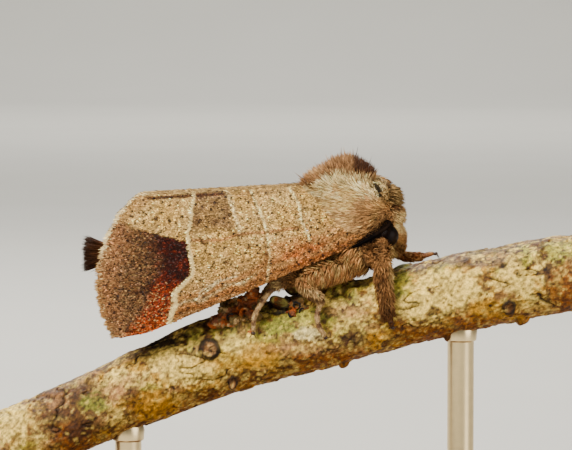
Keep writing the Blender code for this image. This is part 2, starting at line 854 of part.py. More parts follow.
def knots(list_of_knots, slot, grow=0.0):
    """Squashed balls sunk half way into the twig: x, angle up from the right side, size, height."""
    made = []
    for x, angle, size, height in list_of_knots:
        z, radius = twig_line(x)
        a = math.radians(angle)
        out = Vector((0.0, -math.cos(a), math.sin(a)))
        bm = bmesh.new()
        bmesh.ops.create_uvsphere(bm, u_segments=8, v_segments=4, radius=1.0)
        scale = Vector((size + grow, size + grow, height + grow)) * MM
        bmesh.ops.scale(bm, verts=bm.verts[:], vec=scale)
        turn = out.to_track_quat("Z", "X").to_matrix()
        bmesh.ops.rotate(bm, verts=bm.verts[:], matrix=turn)
        place = (Vector((x, 0.0, z)) + out * radius) * MM
        bmesh.ops.translate(bm, verts=bm.verts[:], vec=place)
        made.append(add_object("knot", bm, slot))
    return made


def bud():
    """The side bud between the hind leg and the middle leg, an upright cup of lobed scales."""
    core = limb("perch_bud", BUD, "bud", 10, 7)
    lobes = []
    for angle, height, size in BUD_LOBES:
        a = math.radians(angle)
        out = Vector((math.cos(a), math.sin(a), 0.0))
        base = Vector(BUD[1][:3]) + out * BUD_SPREAD
        top = base + out * BUD_FLARE + Vector((0.0, 0.0, height))
        bend = base.lerp(top, LOBE_BEND)
        stations = ((*base, size), (*bend, size), (*top, size * LOBE_BEND))
        lobes.append(limb("lobe", stations, "bud", 8, 5))
    fuse(core, lobes)
    return core


def stand(twig_room):
    """The base block and the rods, whose tops follow the underside of the twig."""
    bm = bmesh.new()
    bmesh.ops.create_cube(bm, size=1.0)
    for vert in bm.verts:
        vert.co.x *= BASE_LENGTH
        vert.co.y *= BASE_WIDTH
        vert.co.z = (vert.co.z + 0.5) * BASE_THICK
    base = add_object("stand_base", bm, "wood", smooth=False)
    rounding = base.modifiers.new("rounding", "BEVEL")
    rounding.width = BASE_ROUND
    rounding.segments = 3
    for name, x in ROD_PLACES.items():
        top = twig_line(x / MM)[0] * MM
        low = BASE_THICK + GAP
        bm = bmesh.new()
        bmesh.ops.create_cone(
            bm,
            cap_ends=True,
            segments=ROD_SIDES,
            radius1=ROD_RADIUS,
            radius2=ROD_RADIUS,
            depth=top - low,
        )
        bmesh.ops.translate(bm, verts=bm.verts[:], vec=(x, 0.0, (top + low) / 2))
        cut(add_object(name, bm, "brass"), twig_room)


def main():
    clear_scene()
    draw = random.Random(SEED)
    gap = GAP / MM
    thorax_room = thorax(gap, "thorax_room")
    abdomen_room = abdomen(gap, "abdomen_room")
    head_room = ball("head_room", HEAD_MIDDLE, HEAD_HALF, "coat", gap)
    eye_rooms = [eye(side, gap, "eye_room") for side in (1, -1)]
    twig_room = twig(gap, "twig_room")
    fuse(twig_room, knots(KNOTS, "bark", gap))

    trunk = thorax()
    cut(trunk, head_room, *eye_rooms)
    face = head()
    for side in (1, -1):
        eye(side)
        cut(antenna(side), thorax_room, head_room, *eye_rooms)
    cut(abdomen(), thorax_room)
    brush = tuft_core()
    for side, word in ((1, "left"), (-1, "right")):
        fore = f"forewing_{word}"
        hind = f"hindwing_{word}"
        cut(wing(fore, forewing_place, FORE_COLUMNS, FORE_VEINS, 0.0, side, "wing"), thorax_room)
        made = wing(hind, hindwing_place, HIND_COLUMNS, HIND_VEINS, HIND_DEPTH, side, "hindwing")
        cut(made, thorax_room, abdomen_room)
    haired = legs()
    for leg, _ in haired:
        cut(leg, thorax_room, twig_room)
    fuse(twig(), knots(KNOTS, "bark"))
    cut(bud(), twig_room)
    stand(twig_room)
    remove(thorax_room, abdomen_room, head_room, twig_room, *eye_rooms)

    for leg, stations in haired:
        coat(leg, leg_roots(stations, leg.name.split("_")[0], draw))
    coat(face, head_roots(draw))
    coat(trunk, collar_roots(draw) + thorax_roots(draw))
    coat(brush, tuft_roots(draw))


main()
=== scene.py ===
import json
import math
from typing import NamedTuple

import bmesh
import bpy
import numpy as np
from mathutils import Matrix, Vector
from mathutils.bvhtree import BVHTree

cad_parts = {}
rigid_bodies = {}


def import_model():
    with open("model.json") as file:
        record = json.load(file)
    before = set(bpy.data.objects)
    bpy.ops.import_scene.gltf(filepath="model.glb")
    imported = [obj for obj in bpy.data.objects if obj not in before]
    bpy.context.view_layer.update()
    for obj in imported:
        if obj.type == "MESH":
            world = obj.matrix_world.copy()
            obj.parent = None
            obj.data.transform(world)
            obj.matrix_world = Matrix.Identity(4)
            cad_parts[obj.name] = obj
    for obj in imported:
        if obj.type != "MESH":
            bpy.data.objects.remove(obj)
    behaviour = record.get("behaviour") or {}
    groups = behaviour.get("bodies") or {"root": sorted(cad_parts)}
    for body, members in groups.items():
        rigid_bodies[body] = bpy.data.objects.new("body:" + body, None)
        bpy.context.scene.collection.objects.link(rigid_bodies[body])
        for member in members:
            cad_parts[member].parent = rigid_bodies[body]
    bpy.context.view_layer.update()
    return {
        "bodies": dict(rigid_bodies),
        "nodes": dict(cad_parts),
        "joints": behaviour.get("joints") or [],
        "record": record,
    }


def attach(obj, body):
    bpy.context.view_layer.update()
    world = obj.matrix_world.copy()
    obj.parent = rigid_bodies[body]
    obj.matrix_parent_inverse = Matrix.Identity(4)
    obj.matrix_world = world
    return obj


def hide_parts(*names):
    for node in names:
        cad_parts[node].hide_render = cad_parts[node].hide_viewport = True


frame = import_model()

MM = 0.001
# Half the width of a tuft's or a scale's patch on the unwrap.
PATCH_HALF = 0.0015

# Camera, in millimetres and degrees: the photo's width at the moth, and where it looks.
VIEW_WIDTH = 34.32
VIEW_MIDDLE = (0.0, 0.0, 23.52)
VIEW_ELEVATION = 4.0
VIEW_DISTANCE = 250.0
SENSOR_WIDTH = 36.0
# One pixel of the photo in millimetres, and the pixel column and row of X 0 and Z 0.
PIXEL = 0.06
ZERO_COLUMN = 286
ZERO_ROW = 617

# Trunk of the moth under its hair: x, middle height, half width, reach up, reach down.
THORAX = (
    (0.5, 23.4, 0.9, 1.0, 0.8),
    (1.2, 23.5, 1.6, 2.1, 1.5),
    (2.4, 23.7, 2.15, 2.8, 2.3),
    (3.6, 23.8, 2.35, 3.1, 2.7),
    (4.7, 23.9, 2.2, 2.7, 2.5),
    (5.5, 24.2, 1.7, 1.6, 1.9),
    (6.1, 24.6, 1.0, 0.7, 0.6),
)
ABDOMEN = (
    (0.1, 23.1, 0.85, 1.0),
    (-1.2, 22.9, 1.10, 1.30),
    (-4.0, 22.6, 1.15, 1.40),
    (-7.0, 22.3, 1.10, 1.30),
    (-9.6, 22.0, 0.90, 1.00),
    (-10.6, 21.9, 0.60, 0.70),
)
HEAD_MIDDLE = (6.05, 0.0, 23.05)
HEAD_HALF = (0.85, 1.05, 1.15)
EYE_MIDDLE = (6.05, 1.08, 22.95)
EYE_RADIUS = 0.7

# The roof of the wings in the side view: height at X 0 and rise for each millimetre, of the ridge
# and of the wings' front edge.
RIDGE = (25.97, 0.055)
COSTA = (20.78, 0.4185)
RIDGE_HALF = 0.03
# How wide the roof is at places along it, how far it turns over, and how soon.
WING_WIDTH = ((-12.0, 3.1), (-7.0, 3.45), (-2.0, 3.45), (0.5, 3.1), (2.5, 2.5), (4.9, 1.9))
ROLL = math.radians(100.0)
ROUNDING = 0.75
# Where the forewing's hind and front edges begin and end, and how its outer edge bulges.
FORE_HIND_EDGE = (1.9, -8.6)
FORE_FRONT_EDGE = (4.9, -9.7)
TERMEN_BULGE = 2.0
TERMEN_ROUND = 0.65
APEX_LIFT = 0.24
# The far forewing's apex shows behind the near one, by this shift.
FAR_SHIFT = 0.35
# The hindwing's start and end: x, and the share of the way from the ridge to the front edge.
HIND_START = (1.6, 0.32)
HIND_END = (-6.4, 0.88)
HIND_DEPTH = 0.85
HIND_BULGE = 1.4
HIND_ROUND = 0.8
WING_SHEET = 0.07
# Where the membrane ends, as a share of the wing's length; the fringe fills the rest.
SHEET_END = 0.992
# Veins: the share from hind edge to front edge, and where from root to outer edge each begins.
FORE_VEINS = (
    (0.09, 0.0),
    (0.22, 0.35),
    (0.34, 0.0),
    (0.45, 0.5),
    (0.56, 0.5),
    (0.67, 0.5),
    (0.76, 0.0),
    (0.86, 0.4),
    (0.95, 0.0),
)
HIND_VEINS = ((0.3, 0.0), (0.55, 0.3), (0.8, 0.0))
VEIN_LIFT = 0.03
VEIN_WIDE = 0.012

# The shaft of the left antenna: x, y, z and how far its teeth reach.
ANTENNA_LINE = (
    (6.15, 0.55, 23.75, 0.2),
    (6.2, 1.25, 23.75, 0.26),
    (6.0, 1.95, 23.5, 0.29),
    (5.46, 2.35, 23.18, 0.3),
    (5.04, 2.45, 22.92, 0.28),
    (4.6, 2.48, 22.68, 0.2),
    (4.25, 2.4, 22.48, 0.12),
    (3.95, 2.3, 22.35, 0.07),
)
# Each leg of the left side, from root to foot: x, y, z, radius without hair.
LEGS = {
    "midleg": (
        (4.2, 1.3, 21.3, 0.45),
        (3.0, 2.0, 20.95, 0.5),
        (1.6, 2.6, 20.55, 0.48),
        (0.95, 2.85, 20.25, 0.4),
        (1.4, 2.95, 19.75, 0.38),
        (2.05, 2.9, 19.3, 0.28),
        (1.85, 2.85, 18.4, 0.25),
        (1.95, 2.85, 17.7, 0.25),
        (2.3, 2.8, 17.1, 0.22),
    ),
    "hindleg": (
        (2.3, 0.9, 21.0, 0.36),
        (1.1, 1.6, 20.55, 0.38),
        (0.0, 2.15, 20.4, 0.32),
        (-0.7, 2.45, 20.0, 0.27),
        (-1.35, 2.6, 19.2, 0.25),
        (-1.85, 2.75, 18.3, 0.25),
        (-1.95, 2.8, 17.4, 0.22),
    ),
    "foreleg": (
        (5.2, 1.1, 21.9, 0.4),
        (5.6, 2.0, 21.9, 0.45),
        (5.75, 2.75, 21.2, 0.48),
        (5.8, 3.0, 20.2, 0.45),
        (5.95, 3.0, 19.2, 0.38),
        (6.1, 2.95, 18.3, 0.28),
        (6.3, 2.85, 17.7, 0.24),
    ),
}
FAR_FORELEG = (
    (5.4, 0.9, 21.9, 0.38),
    (6.3, 1.5, 21.9, 0.36),
    (7.1, 1.4, 21.55, 0.34),
    (7.9, 1.15, 21.5, 0.3),
    (8.9, 0.95, 21.75, 0.22),
)
# The share of each leg's length that carries long hair.
FURRY_SHARE = {"foreleg": 0.8, "midleg": 0.6, "hindleg": 0.45}

# The twig's middle line and its radius: x, z, radius.
TWIG_LINE = (
    (-18.6, 9.3, 2.30),
    (-10.6, 12.9, 2.32),
    (-5.2, 15.2, 2.48),
    (-1.5, 16.35, 2.45),
    (2.9, 17.45, 2.36),
    (10.0, 19.3, 2.36),
    (18.6, 20.9, 2.25),
)
TWIG_RADIUS = 2.4
SIDES = ((1, "left"), (-1, "right"))


# Numbers.


def smooth_rows(rows, count):
    """Rows of numbers at even steps along a smooth curve through the rows given."""
    rows = np.array(rows, float)
    padded = np.vstack([2 * rows[0] - rows[1], rows, 2 * rows[-1] - rows[-2]])
    found = []
    for place in np.linspace(0, len(rows) - 1, count):
        i = min(int(place), len(rows) - 2)
        f = place - i
        a, b, c, d = padded[i : i + 4]
        bend = (2 * a - 5 * b + 4 * c - d) * f * f + (3 * b - a - 3 * c + d) * f**3
        found.append(0.5 * (2 * b + (c - a) * f + bend))
    return np.array(found)


def read_rows(x, rows, *columns):
    """Values of those columns of a table at places in its first column."""
    rows = np.asarray(rows)
    return [np.interp(x, rows[:, 0], rows[:, k]) for k in columns]


def unit(vectors):
    """Vectors of length 1 in the same directions."""
    return vectors / np.maximum(np.linalg.norm(vectors, axis=-1, keepdims=True), 1e-9)


def ramp(values, low, high):
    """0 below low and 1 above high, with a smooth step between; low may be the larger."""
    share = np.clip((values - low) / (high - low), 0.0, 1.0)
    return share * share * (3 - 2 * share)


def between(one, other, share):
    """A blend of numbers."""
    return one * (1 - share) + other * share


def mix(one, other, share):
    """A blend of colours or directions, with one share for all or one for each point."""
    return between(np.asarray(one), np.asarray(other), np.asarray(share)[..., None])


def hashed(cells, seed):
    """A repeatable random number from 0 to 1 for each cell of whole numbers."""
    whole = cells.astype(np.int64).astype(np.uint64)
    mixed = np.full(whole.shape[:-1], 0x9E3779B9 + 7919 * seed, np.uint64)
    for axis in range(whole.shape[-1]):
        mixed = (mixed ^ (whole[..., axis] & np.uint64(0xFFFFFFFF))) * np.uint64(0x9E3779B97F4A7C15)
        mixed ^= mixed >> np.uint64(29)
    return ((mixed >> np.uint64(11)) & np.uint64(0xFFFFFF)).astype(float) / 0xFFFFFF


def noise(points, size, seed=0):
    """Smooth random values from 0 to 1 that change over about that many millimetres."""
    scaled = np.asarray(points, float) / size
    base = np.floor(scaled)
    part = scaled - base
    part = part * part * (3 - 2 * part)
    total = 0.0
    for corner in np.ndindex(*(2,) * scaled.shape[-1]):
        offset = np.array(corner)
        weight = np.prod(np.where(offset == 1, part, 1 - part), axis=-1)
        total = total + weight * hashed(base + offset, seed)
    return total


def rough(points, size, octaves, seed=0):
    """Noise of several sizes added up, from 0 to 1."""
    total, whole = 0.0, 0.0
    for k in range(octaves):
        total = total + noise(points, size / 2**k, seed + 31 * k) / 2**k
        whole += 1 / 2**k
    return total / whole


def spots(points, spacing, radius, seed=0):
    """1 in the middle of scattered round spots, fading to 0 at their edges; some cells are empty."""
    points = np.asarray(points, float)
    base = np.floor(points / spacing)
    best = np.zeros(points.shape[:-1])
    for corner in np.ndindex(*(3,) * points.shape[-1]):
        cell = base + np.array(corner) - 1
        shift = np.stack([hashed(cell, seed + 5 + k) for k in range(points.shape[-1])], axis=-1)
        grown = radius * (0.4 + 0.6 * hashed(cell, seed + 11))
        distance = np.linalg.norm((cell + shift) * spacing - points, axis=-1)
        best = np.maximum(best, np.clip(1.5 - 1.5 * distance / grown, 0.0, 1.0))
    return best


def line_distance(x, z, corners):
    """Distance in the side view to a line through (x, z) corners, and the share along it."""
    corners = np.array(corners, float)
    steps = np.diff(corners, axis=0)
    lengths = np.linalg.norm(steps, axis=1)
    starts = np.concatenate([[0.0], np.cumsum(lengths)[:-1]])
    best = np.full(np.shape(x), 1e9)
    share = np.zeros(np.shape(x))
    for (ax, az), (dx, dz), length, start in zip(corners, steps, lengths, starts):
        t = np.clip(((x - ax) * dx + (z - az) * dz) / length**2, 0.0, 1.0)
        distance = np.hypot(x - ax - t * dx, z - az - t * dz)
        nearer = distance < best
        best = np.where(nearer, distance, best)
        share = np.where(nearer, (start + t * length) / lengths.sum(), share)
    return best, share


def pixels(*corners):
    """Places in the side view, in millimetres, of pixels of the photo."""
    return [((px - ZERO_COLUMN) * PIXEL, (ZERO_ROW - py) * PIXEL) for px, py in corners]


def side_view(points):
    """Where points show in the photo, as X and Z in millimetres at the moth's middle plane.

    The left side is folded over the right one, so that both carry the same markings.
    """
    e = math.radians(VIEW_ELEVATION)
    folded = np.array(points, float)
    folded[..., 1] = -np.abs(folded[..., 1])
    folded -= np.array(VIEW_MIDDLE)
    depth = VIEW_DISTANCE + folded[..., 1] * math.cos(e) - folded[..., 2] * math.sin(e)
    across = folded[..., 0] * VIEW_DISTANCE / depth
    up = folded[..., 1] * math.sin(e) + folded[..., 2] * math.cos(e)
    return across, VIEW_MIDDLE[2] + up * VIEW_DISTANCE / depth


# Surfaces look paler and greyer in soft light than their own colour, so colours are deepened.
DEPTH = 0.68
SATURATION = 1.12


def paint(red, green, blue):
    """A colour as it should look on a screen, 0 to 255, as the surface's own linear colour."""
    screen = np.array((red, green, blue)) / 255
    linear = np.where(screen <= 0.04045, screen / 12.92, ((screen + 0.055) / 1.055) ** 2.4)
    grey = linear @ np.array((0.2126, 0.7152, 0.0722))
    return np.clip((grey + (linear - grey) * SATURATION) * DEPTH, 0.001, 1.0)


# Meshes.


def make_mesh(name, points, groups, smooth=True):
    """A mesh from points in millimetres and arrays of faces with like numbers of corners."""
    groups = [np.asarray(g, np.int32) for g in groups if len(g)]
    sizes = np.concatenate([np.full(len(g), g.shape[1]) for g in groups])
    corners = np.concatenate([g.ravel() for g in groups])
    mesh = bpy.data.meshes.new(name)
    mesh.vertices.add(len(points))
    mesh.vertices.foreach_set("co", (np.asarray(points) * MM).astype(np.float32).ravel())
    mesh.loops.add(len(corners))
    mesh.loops.foreach_set("vertex_index", corners)
    mesh.polygons.add(len(sizes))
    starts = np.concatenate([[0], np.cumsum(sizes)[:-1]]).astype(np.int32)
    mesh.polygons.foreach_set("loop_start", starts)
    mesh.update(calc_edges=True)
    if smooth:
        mesh.shade_smooth()
    else:
        mesh.shade_flat()
    return mesh


def set_tint(mesh, colours):
    """The colour of each corner of a mesh, which its material reads."""
    rows = np.ones((len(mesh.vertices), 4), np.float32)
    rows[:, :3] = np.clip(colours, 0.0, 1.0)
    layer = mesh.attributes.new("tint", "FLOAT_COLOR", "POINT")
    layer.data.foreach_set("color", rows.ravel())


def set_unwrap(mesh, places):
    """The UV map that baking uses, from one place for each corner point."""
    loops = np.empty(len(mesh.loops), np.int32)
    mesh.loops.foreach_get("vertex_index", loops)
    layer = mesh.uv_layers.new(name="OFBake")
    layer.data.foreach_set("uv", np.asarray(places, np.float32)[loops].ravel())


def add_piece(mesh, material, replaced=()):
    """A piece of the body, named after its mesh, and the CAD nodes that it replaces."""
    mesh.materials.append(material)
    piece = bpy.data.objects.new(mesh.name, mesh)
    bpy.context.scene.collection.objects.link(piece)
    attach(piece, "root")
    if replaced:
        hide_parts(*replaced)
    return piece


def grid_faces(rows, columns, wrap=False):
    """Four-cornered faces between the points of a grid, closed across its columns if asked."""
    index = np.arange(rows * columns).reshape(rows, columns)
    if wrap:
        index = np.hstack([index, index[:, :1]])
    parts = (index[:-1, :-1], index[1:, :-1], index[1:, 1:], index[:-1, 1:])
    return np.stack([p.ravel() for p in parts], axis=1)


def full_turn(count):
    """Angles at even steps around a full turn."""
    return np.linspace(0, 2 * math.pi, count, endpoint=False)


def fan(ring, tip):
    """Three-cornered faces from a closed ring of points to one tip."""
    return np.stack([ring, np.roll(ring, -1), np.full(len(ring), tip)], axis=1)


def flipped(triangles):
    """The same triangles, facing the other way."""
    return triangles[:, [1, 0, 2]]


def end_caps(count, sides):
    """Faces from the first and the last ring of a tube to the two points that follow its rings."""
    ring = np.arange(sides)
    tip = count * sides
    return np.vstack([fan(ring, tip), flipped(fan(tip - sides + ring, tip + 1))])


def path_frames(points):
    """For each point of a path: its direction, a side vector and a third, square to both."""
    points = np.array(points, float)
    ahead = unit(np.gradient(points, axis=0))
    side = np.cross(ahead[0], (0.0, 0.0, 1.0))
    if np.linalg.norm(side) < 0.2:
        side = np.cross(ahead[0], (1.0, 0.0, 0.0))
    sides = []
    for direction in ahead:
        side = side - direction * (side @ direction)
        side /= np.linalg.norm(side)
        sides.append(side)
    sides = np.array(sides)
    return ahead, sides, np.cross(ahead, sides)


def tube(points, radii, sides, blunt=0.7):
    """Points and faces of a round limb with domed ends."""
    ahead, side, third = path_frames(points)
    turns = full_turn(sides)
    round_part = np.cos(turns)[:, None] * side[:, None] + np.sin(turns)[:, None] * third[:, None]
    rings = points[:, None] + np.asarray(radii)[:, None, None] * round_part
    count = len(points)
    first = points[0] - ahead[0] * radii[0] * blunt
    last = points[-1] + ahead[-1] * radii[-1] * blunt
    corners = np.vstack([rings.reshape(-1, 3), first, last])
    return corners, grid_faces(count, sides, wrap=True)[:, ::-1], end_caps(count, sides)


def joined(parts):
    """Several (points, four-cornered faces, three-cornered faces) as one."""
    points, quads, triangles, start = [], [], [], 0
    for corners, fours, threes in parts:
        points.append(corners)
        quads.append(np.asarray(fours).reshape(-1, 4) + start)
        triangles.append(np.asarray(threes).reshape(-1, 3) + start)
        start += len(corners)
    return np.vstack(points), np.vstack(quads), np.vstack(triangles)


# Materials.


def set_inputs(node, **values):
    """Constant values on a node's sockets, whose names have spaces where these have underscores."""
    for key, value in values.items():
        node.inputs[key.replace("_", " ")].default_value = value


def new_material(name):
    """A material with its nodes, links, shader and the place of a point on its object."""
    material = bpy.data.materials.new(name)
    material.use_nodes = True
    nodes, links = material.node_tree.nodes, material.node_tree.links
    place = nodes.new("ShaderNodeTexCoord").outputs["Object"]
    return material, nodes, links, nodes["Principled BSDF"], place


def add_noise(nodes, links, place, scale, detail):
    """The value of a noise texture."""
    texture = nodes.new("ShaderNodeTexNoise")
    set_inputs(texture, Scale=scale, Detail=detail)
    links.new(place, texture.inputs["Vector"])
    return texture.outputs["Fac"]


def add_bump(nodes, links, shader, height, distance):
    """A bump in the shader's surface."""
    lift = nodes.new("ShaderNodeBump")
    set_inputs(lift, Strength=1.0, Distance=distance)
    links.new(height, lift.inputs["Height"])
    links.new(lift.outputs["Normal"], shader.inputs["Normal"])


def tinted(name, roughness, grain=0.0, grain_size=0.1, bump=0.0, bump_size=0.1, **values):
    """A material coloured by the tint of its mesh, with fine noise in its colour and surface."""
    material, nodes, links, shader, place = new_material(name)
    set_inputs(shader, Roughness=roughness, **values)
    tint = nodes.new("ShaderNodeAttribute")
    tint.attribute_name = "tint"
    fine = add_noise(nodes, links, place, 1 / (grain_size * MM), 3.0)
    spread = nodes.new("ShaderNodeMapRange")
    set_inputs(spread, From_Min=0.25, From_Max=0.75, To_Min=1.0 - grain, To_Max=1.0 + grain)
    links.new(fine, spread.inputs["Value"])
    product = nodes.new("ShaderNodeVectorMath")
    product.operation = "SCALE"
    links.new(tint.outputs["Color"], product.inputs[0])
    links.new(spread.outputs["Result"], product.inputs["Scale"])
    links.new(product.outputs["Vector"], shader.inputs["Base Color"])
    if bump:
        relief = add_noise(nodes, links, place, 1 / (bump_size * MM), 4.0)
        add_bump(nodes, links, shader, relief, bump * MM)
    return material


# Colours of the coat, the wings and the bark, as they look in soft light.

STRAW = paint(186, 150, 92)
CREAM = paint(240, 216, 164)
PALE = paint(212, 178, 120)
TAN = paint(172, 128, 80)
FAWN = paint(196, 156, 110)
BROWN = paint(112, 74, 42)
GREY_BROWN = paint(104, 76, 52)
PINK_BROWN = paint(150, 104, 70)
DARK_BROWN = paint(70, 42, 24)
BLACK_BROWN = paint(30, 17, 10)
MAROON = paint(46, 12, 6)
RED = paint(134, 48, 24)
ORANGE = paint(194, 94, 46)
RUST = paint(146, 92, 52)
CHOCOLATE = paint(58, 30, 16)
BLACK = paint(14, 10, 9)
LINE_CREAM = paint(250, 222, 158)
PATCH_DUSK = paint(78, 52, 34)
OBLIQUE_BROWN = paint(132, 84, 54)
HINDWING_DARK = paint(120, 98, 76)
HINDWING_PALE = paint(160, 134, 104)
CREST_RUST = paint(112, 66, 38)
COLLAR_BROWN = paint(112, 84, 54)
FACE_CREAM = paint(244, 204, 146)
UNDER_TAN = paint(150, 108, 70)
UNDER_BROWN = paint(92, 58, 34)
FOOT_BROWN = paint(64, 32, 16)
THIGH_TAN = paint(186, 130, 84)
FAR_LEG_BROWN = paint(128, 78, 46)
FAR_LEG_TAN = paint(176, 128, 82)
TARSUS_PALE = paint(190, 156, 110)
TARSUS_BROWN = paint(92, 58, 36)
BRUSH_BROWN = paint(112, 70, 44)
EYE_SHEEN_BROWN = paint(36, 18, 10)
ANTENNA_GLINT_BROWN = paint(58, 40, 28)
CLAW_BROWN = paint(70, 36, 18)
BARK_CREAM = paint(246, 212, 122)
BARK_YELLOW = paint(190, 136, 34)
BARK_GREEN = paint(140, 142, 60)
BARK_RUST = paint(134, 76, 22)
BARK_GREY = paint(130, 104, 74)
BARK_BROWN = paint(84, 50, 24)
BARK_PINK = paint(172, 126, 82)
LICHEN_CREAM = paint(250, 228, 160)
END_PALE = paint(206, 172, 118)
END_DARK = paint(160, 116, 68)
PITH_BROWN = paint(86, 56, 30)
GALL_BROWN = paint(116, 64, 34)
GALL_ORANGE = paint(184, 92, 40)
GALL_OLIVE = paint(104, 92, 48)
GALL_HIGHLIGHT = paint(206, 170, 120)
FLAKE_OLIVE = paint(166, 152, 88)
FLAKE_BROWN = paint(112, 80, 46)
FLAKE_ORANGE = paint(186, 92, 48)
FLOOR_GREY = paint(222, 220, 212)


# The wings' markings. Lines are in millimetres in the side view.

OUTER_LINE = (
    (-5.45, 25.7),
    (-5.52, 25.15),
    (-5.68, 24.08),
    (-5.87, 22.93),
    (-5.77, 22.1),
    (-5.60, 21.61),
    (-5.52, 20.95),
    (-5.68, 20.46),
    (-6.22, 19.84),
    (-6.67, 19.48),
    (-6.59, 18.82),
    (-6.79, 18.24),
    (-6.96, 17.7),
)
PATCH_TOP = (
    (-10.86, 24.1),
    (-9.96, 23.94),
    (-9.12, 23.46),
    (-7.98, 23.1),
    (-6.96, 22.83),
    (-5.88, 22.56),
)
RED_EDGE = ((-8.1, 20.3), (-7.94, 19.64), (-9.34, 17.25), (-9.9, 16.6))
TERMEN = (
    (-8.6, 25.5),
    (-9.80, 24.39),
    (-10.88, 22.94),
    (-11.19, 21.54),
    (-11.60, 20.16),
    (-11.5, 18.7),
    (-10.46, 17.06),
)
MEDIAN_LINE = pixels(
    (250, 186), (253.6, 193.7), (264.6, 218.4), (268.7, 232), (271.5, 256.8), (268, 285)
)
BASAL_LINE = pixels(
    (290.9, 187.5), (295.9, 194.4), (300.8, 204.3), (303.3, 220.1), (307.7, 229), (311.7, 239.9)
)
BAND_EDGE = pixels((222, 185), (227.6, 196.5), (238.6, 232))
OBLIQUE_LINE = pixels((193, 240), (222, 240), (238.6, 234.8), (252, 232.8), (268.7, 232), (300, 227))
WHITE_STREAKS = (
    pixels((194, 301), (218, 283.5)),
    pixels((218, 281.5), (239, 275.5)),
    pixels((201, 292), (222, 279)),
)
# Pale lines: their places, half width, strength and colour.
PALE_LINES = (
    (MEDIAN_LINE, 0.075, 0.75, LINE_CREAM),
    (BASAL_LINE, 0.075, 0.8, LINE_CREAM),
    *((streak, 0.035, 0.7, CREAM) for streak in WHITE_STREAKS),
)
WING_DOTS = pixels((158, 218.5), (250.5, 247), (268, 253.5), (206, 243), (311, 250), (228, 262))


def line_x(z, corners):
    """The x of a line that runs down the wing, at a height."""
    return line_z(z, [corner[::-1] for corner in corners])


def line_z(x, corners):
    """The height of a line that runs along the wing."""
    return read_rows(x, sorted(corners), 1)[0]


def ridge_z(x):
    """The height of the wings' ridge in the side view."""
    return RIDGE[0] + RIDGE[1] * x


def costa_z(x):
    """The height of the wings' front edge in the side view."""
    return COSTA[0] + COSTA[1] * x


def outer_line(x, z):
    """1 on the cream line before the chocolate tip."""
    wavy = noise(np.stack([x, z], axis=-1), 0.5, 5) - 0.5
    distance, _ = line_distance(x + 0.12 * wavy, z, OUTER_LINE)
    half = 0.02 + 0.03 * ramp(z, 23.0, 22.0) + 0.05 * ramp(z, 20.0, 19.2)
    return ramp(distance, half + 0.06, half - 0.01)


def wing_tint(points):
    """The forewing's markings at points on it, without the speckle of single scales."""
    x, z = side_view(points)
    flat = np.stack([x, z], axis=-1)
    wavy = rough(flat, 1.2, 3, 3) - 0.5
    fine = rough(flat, 0.35, 2, 4) - 0.5
    colour = wing_ground(x, z, wavy, fine)
    # Past the outer line: buff near the hind edge, then the chocolate tip.
    near_edge = x - line_x(z, TERMEN)
    outside = ramp(x - line_x(z, OUTER_LINE), 0.05, -0.05)
    blur = between(0.09, 0.45, ramp(x, -8.2, -9.6))
    under = ramp((z - line_z(x, PATCH_TOP) + 0.15 * wavy + 0.12 * fine) / blur, 0.9, -1.1)
    colour = mix(colour, tip_colour(x, z, wavy, fine), outside * under)
    above = outside * (1 - under)
    colour = mix(colour, PINK_BROWN, above * ramp(near_edge, 1.6, 0.5) * 0.4)
    # Painted shadow of the fold below the ridge: a dark line along it.
    fold = ridge_z(x) - z
    there = ramp(x, -8.6, -8.0) * between(0.35, 1.0, ramp(x, -3.2, -3.8)) * ramp(x, 1.2, 0.4)
    colour = mix(colour, DARK_BROWN, ramp(np.abs(fold - 0.4 + 0.1 * wavy), 0.16, 0.05) * there * 0.95)
    colour = wing_lines(colour, x, z, fine)
    # A cream edge at the rear and a grey strip on the ridge.
    edge = ramp(near_edge, 0.16, 0.05) * ramp(z, 22.0, 23.0)
    colour = mix(colour, CREAM, edge * 0.7)
    ridge = ramp(ridge_z(x) - z, 0.35, 0.1)
    return mix(colour, mix(GREY_BROWN, PALE, ramp(fine, -0.1, 0.15)), ridge * 0.45)


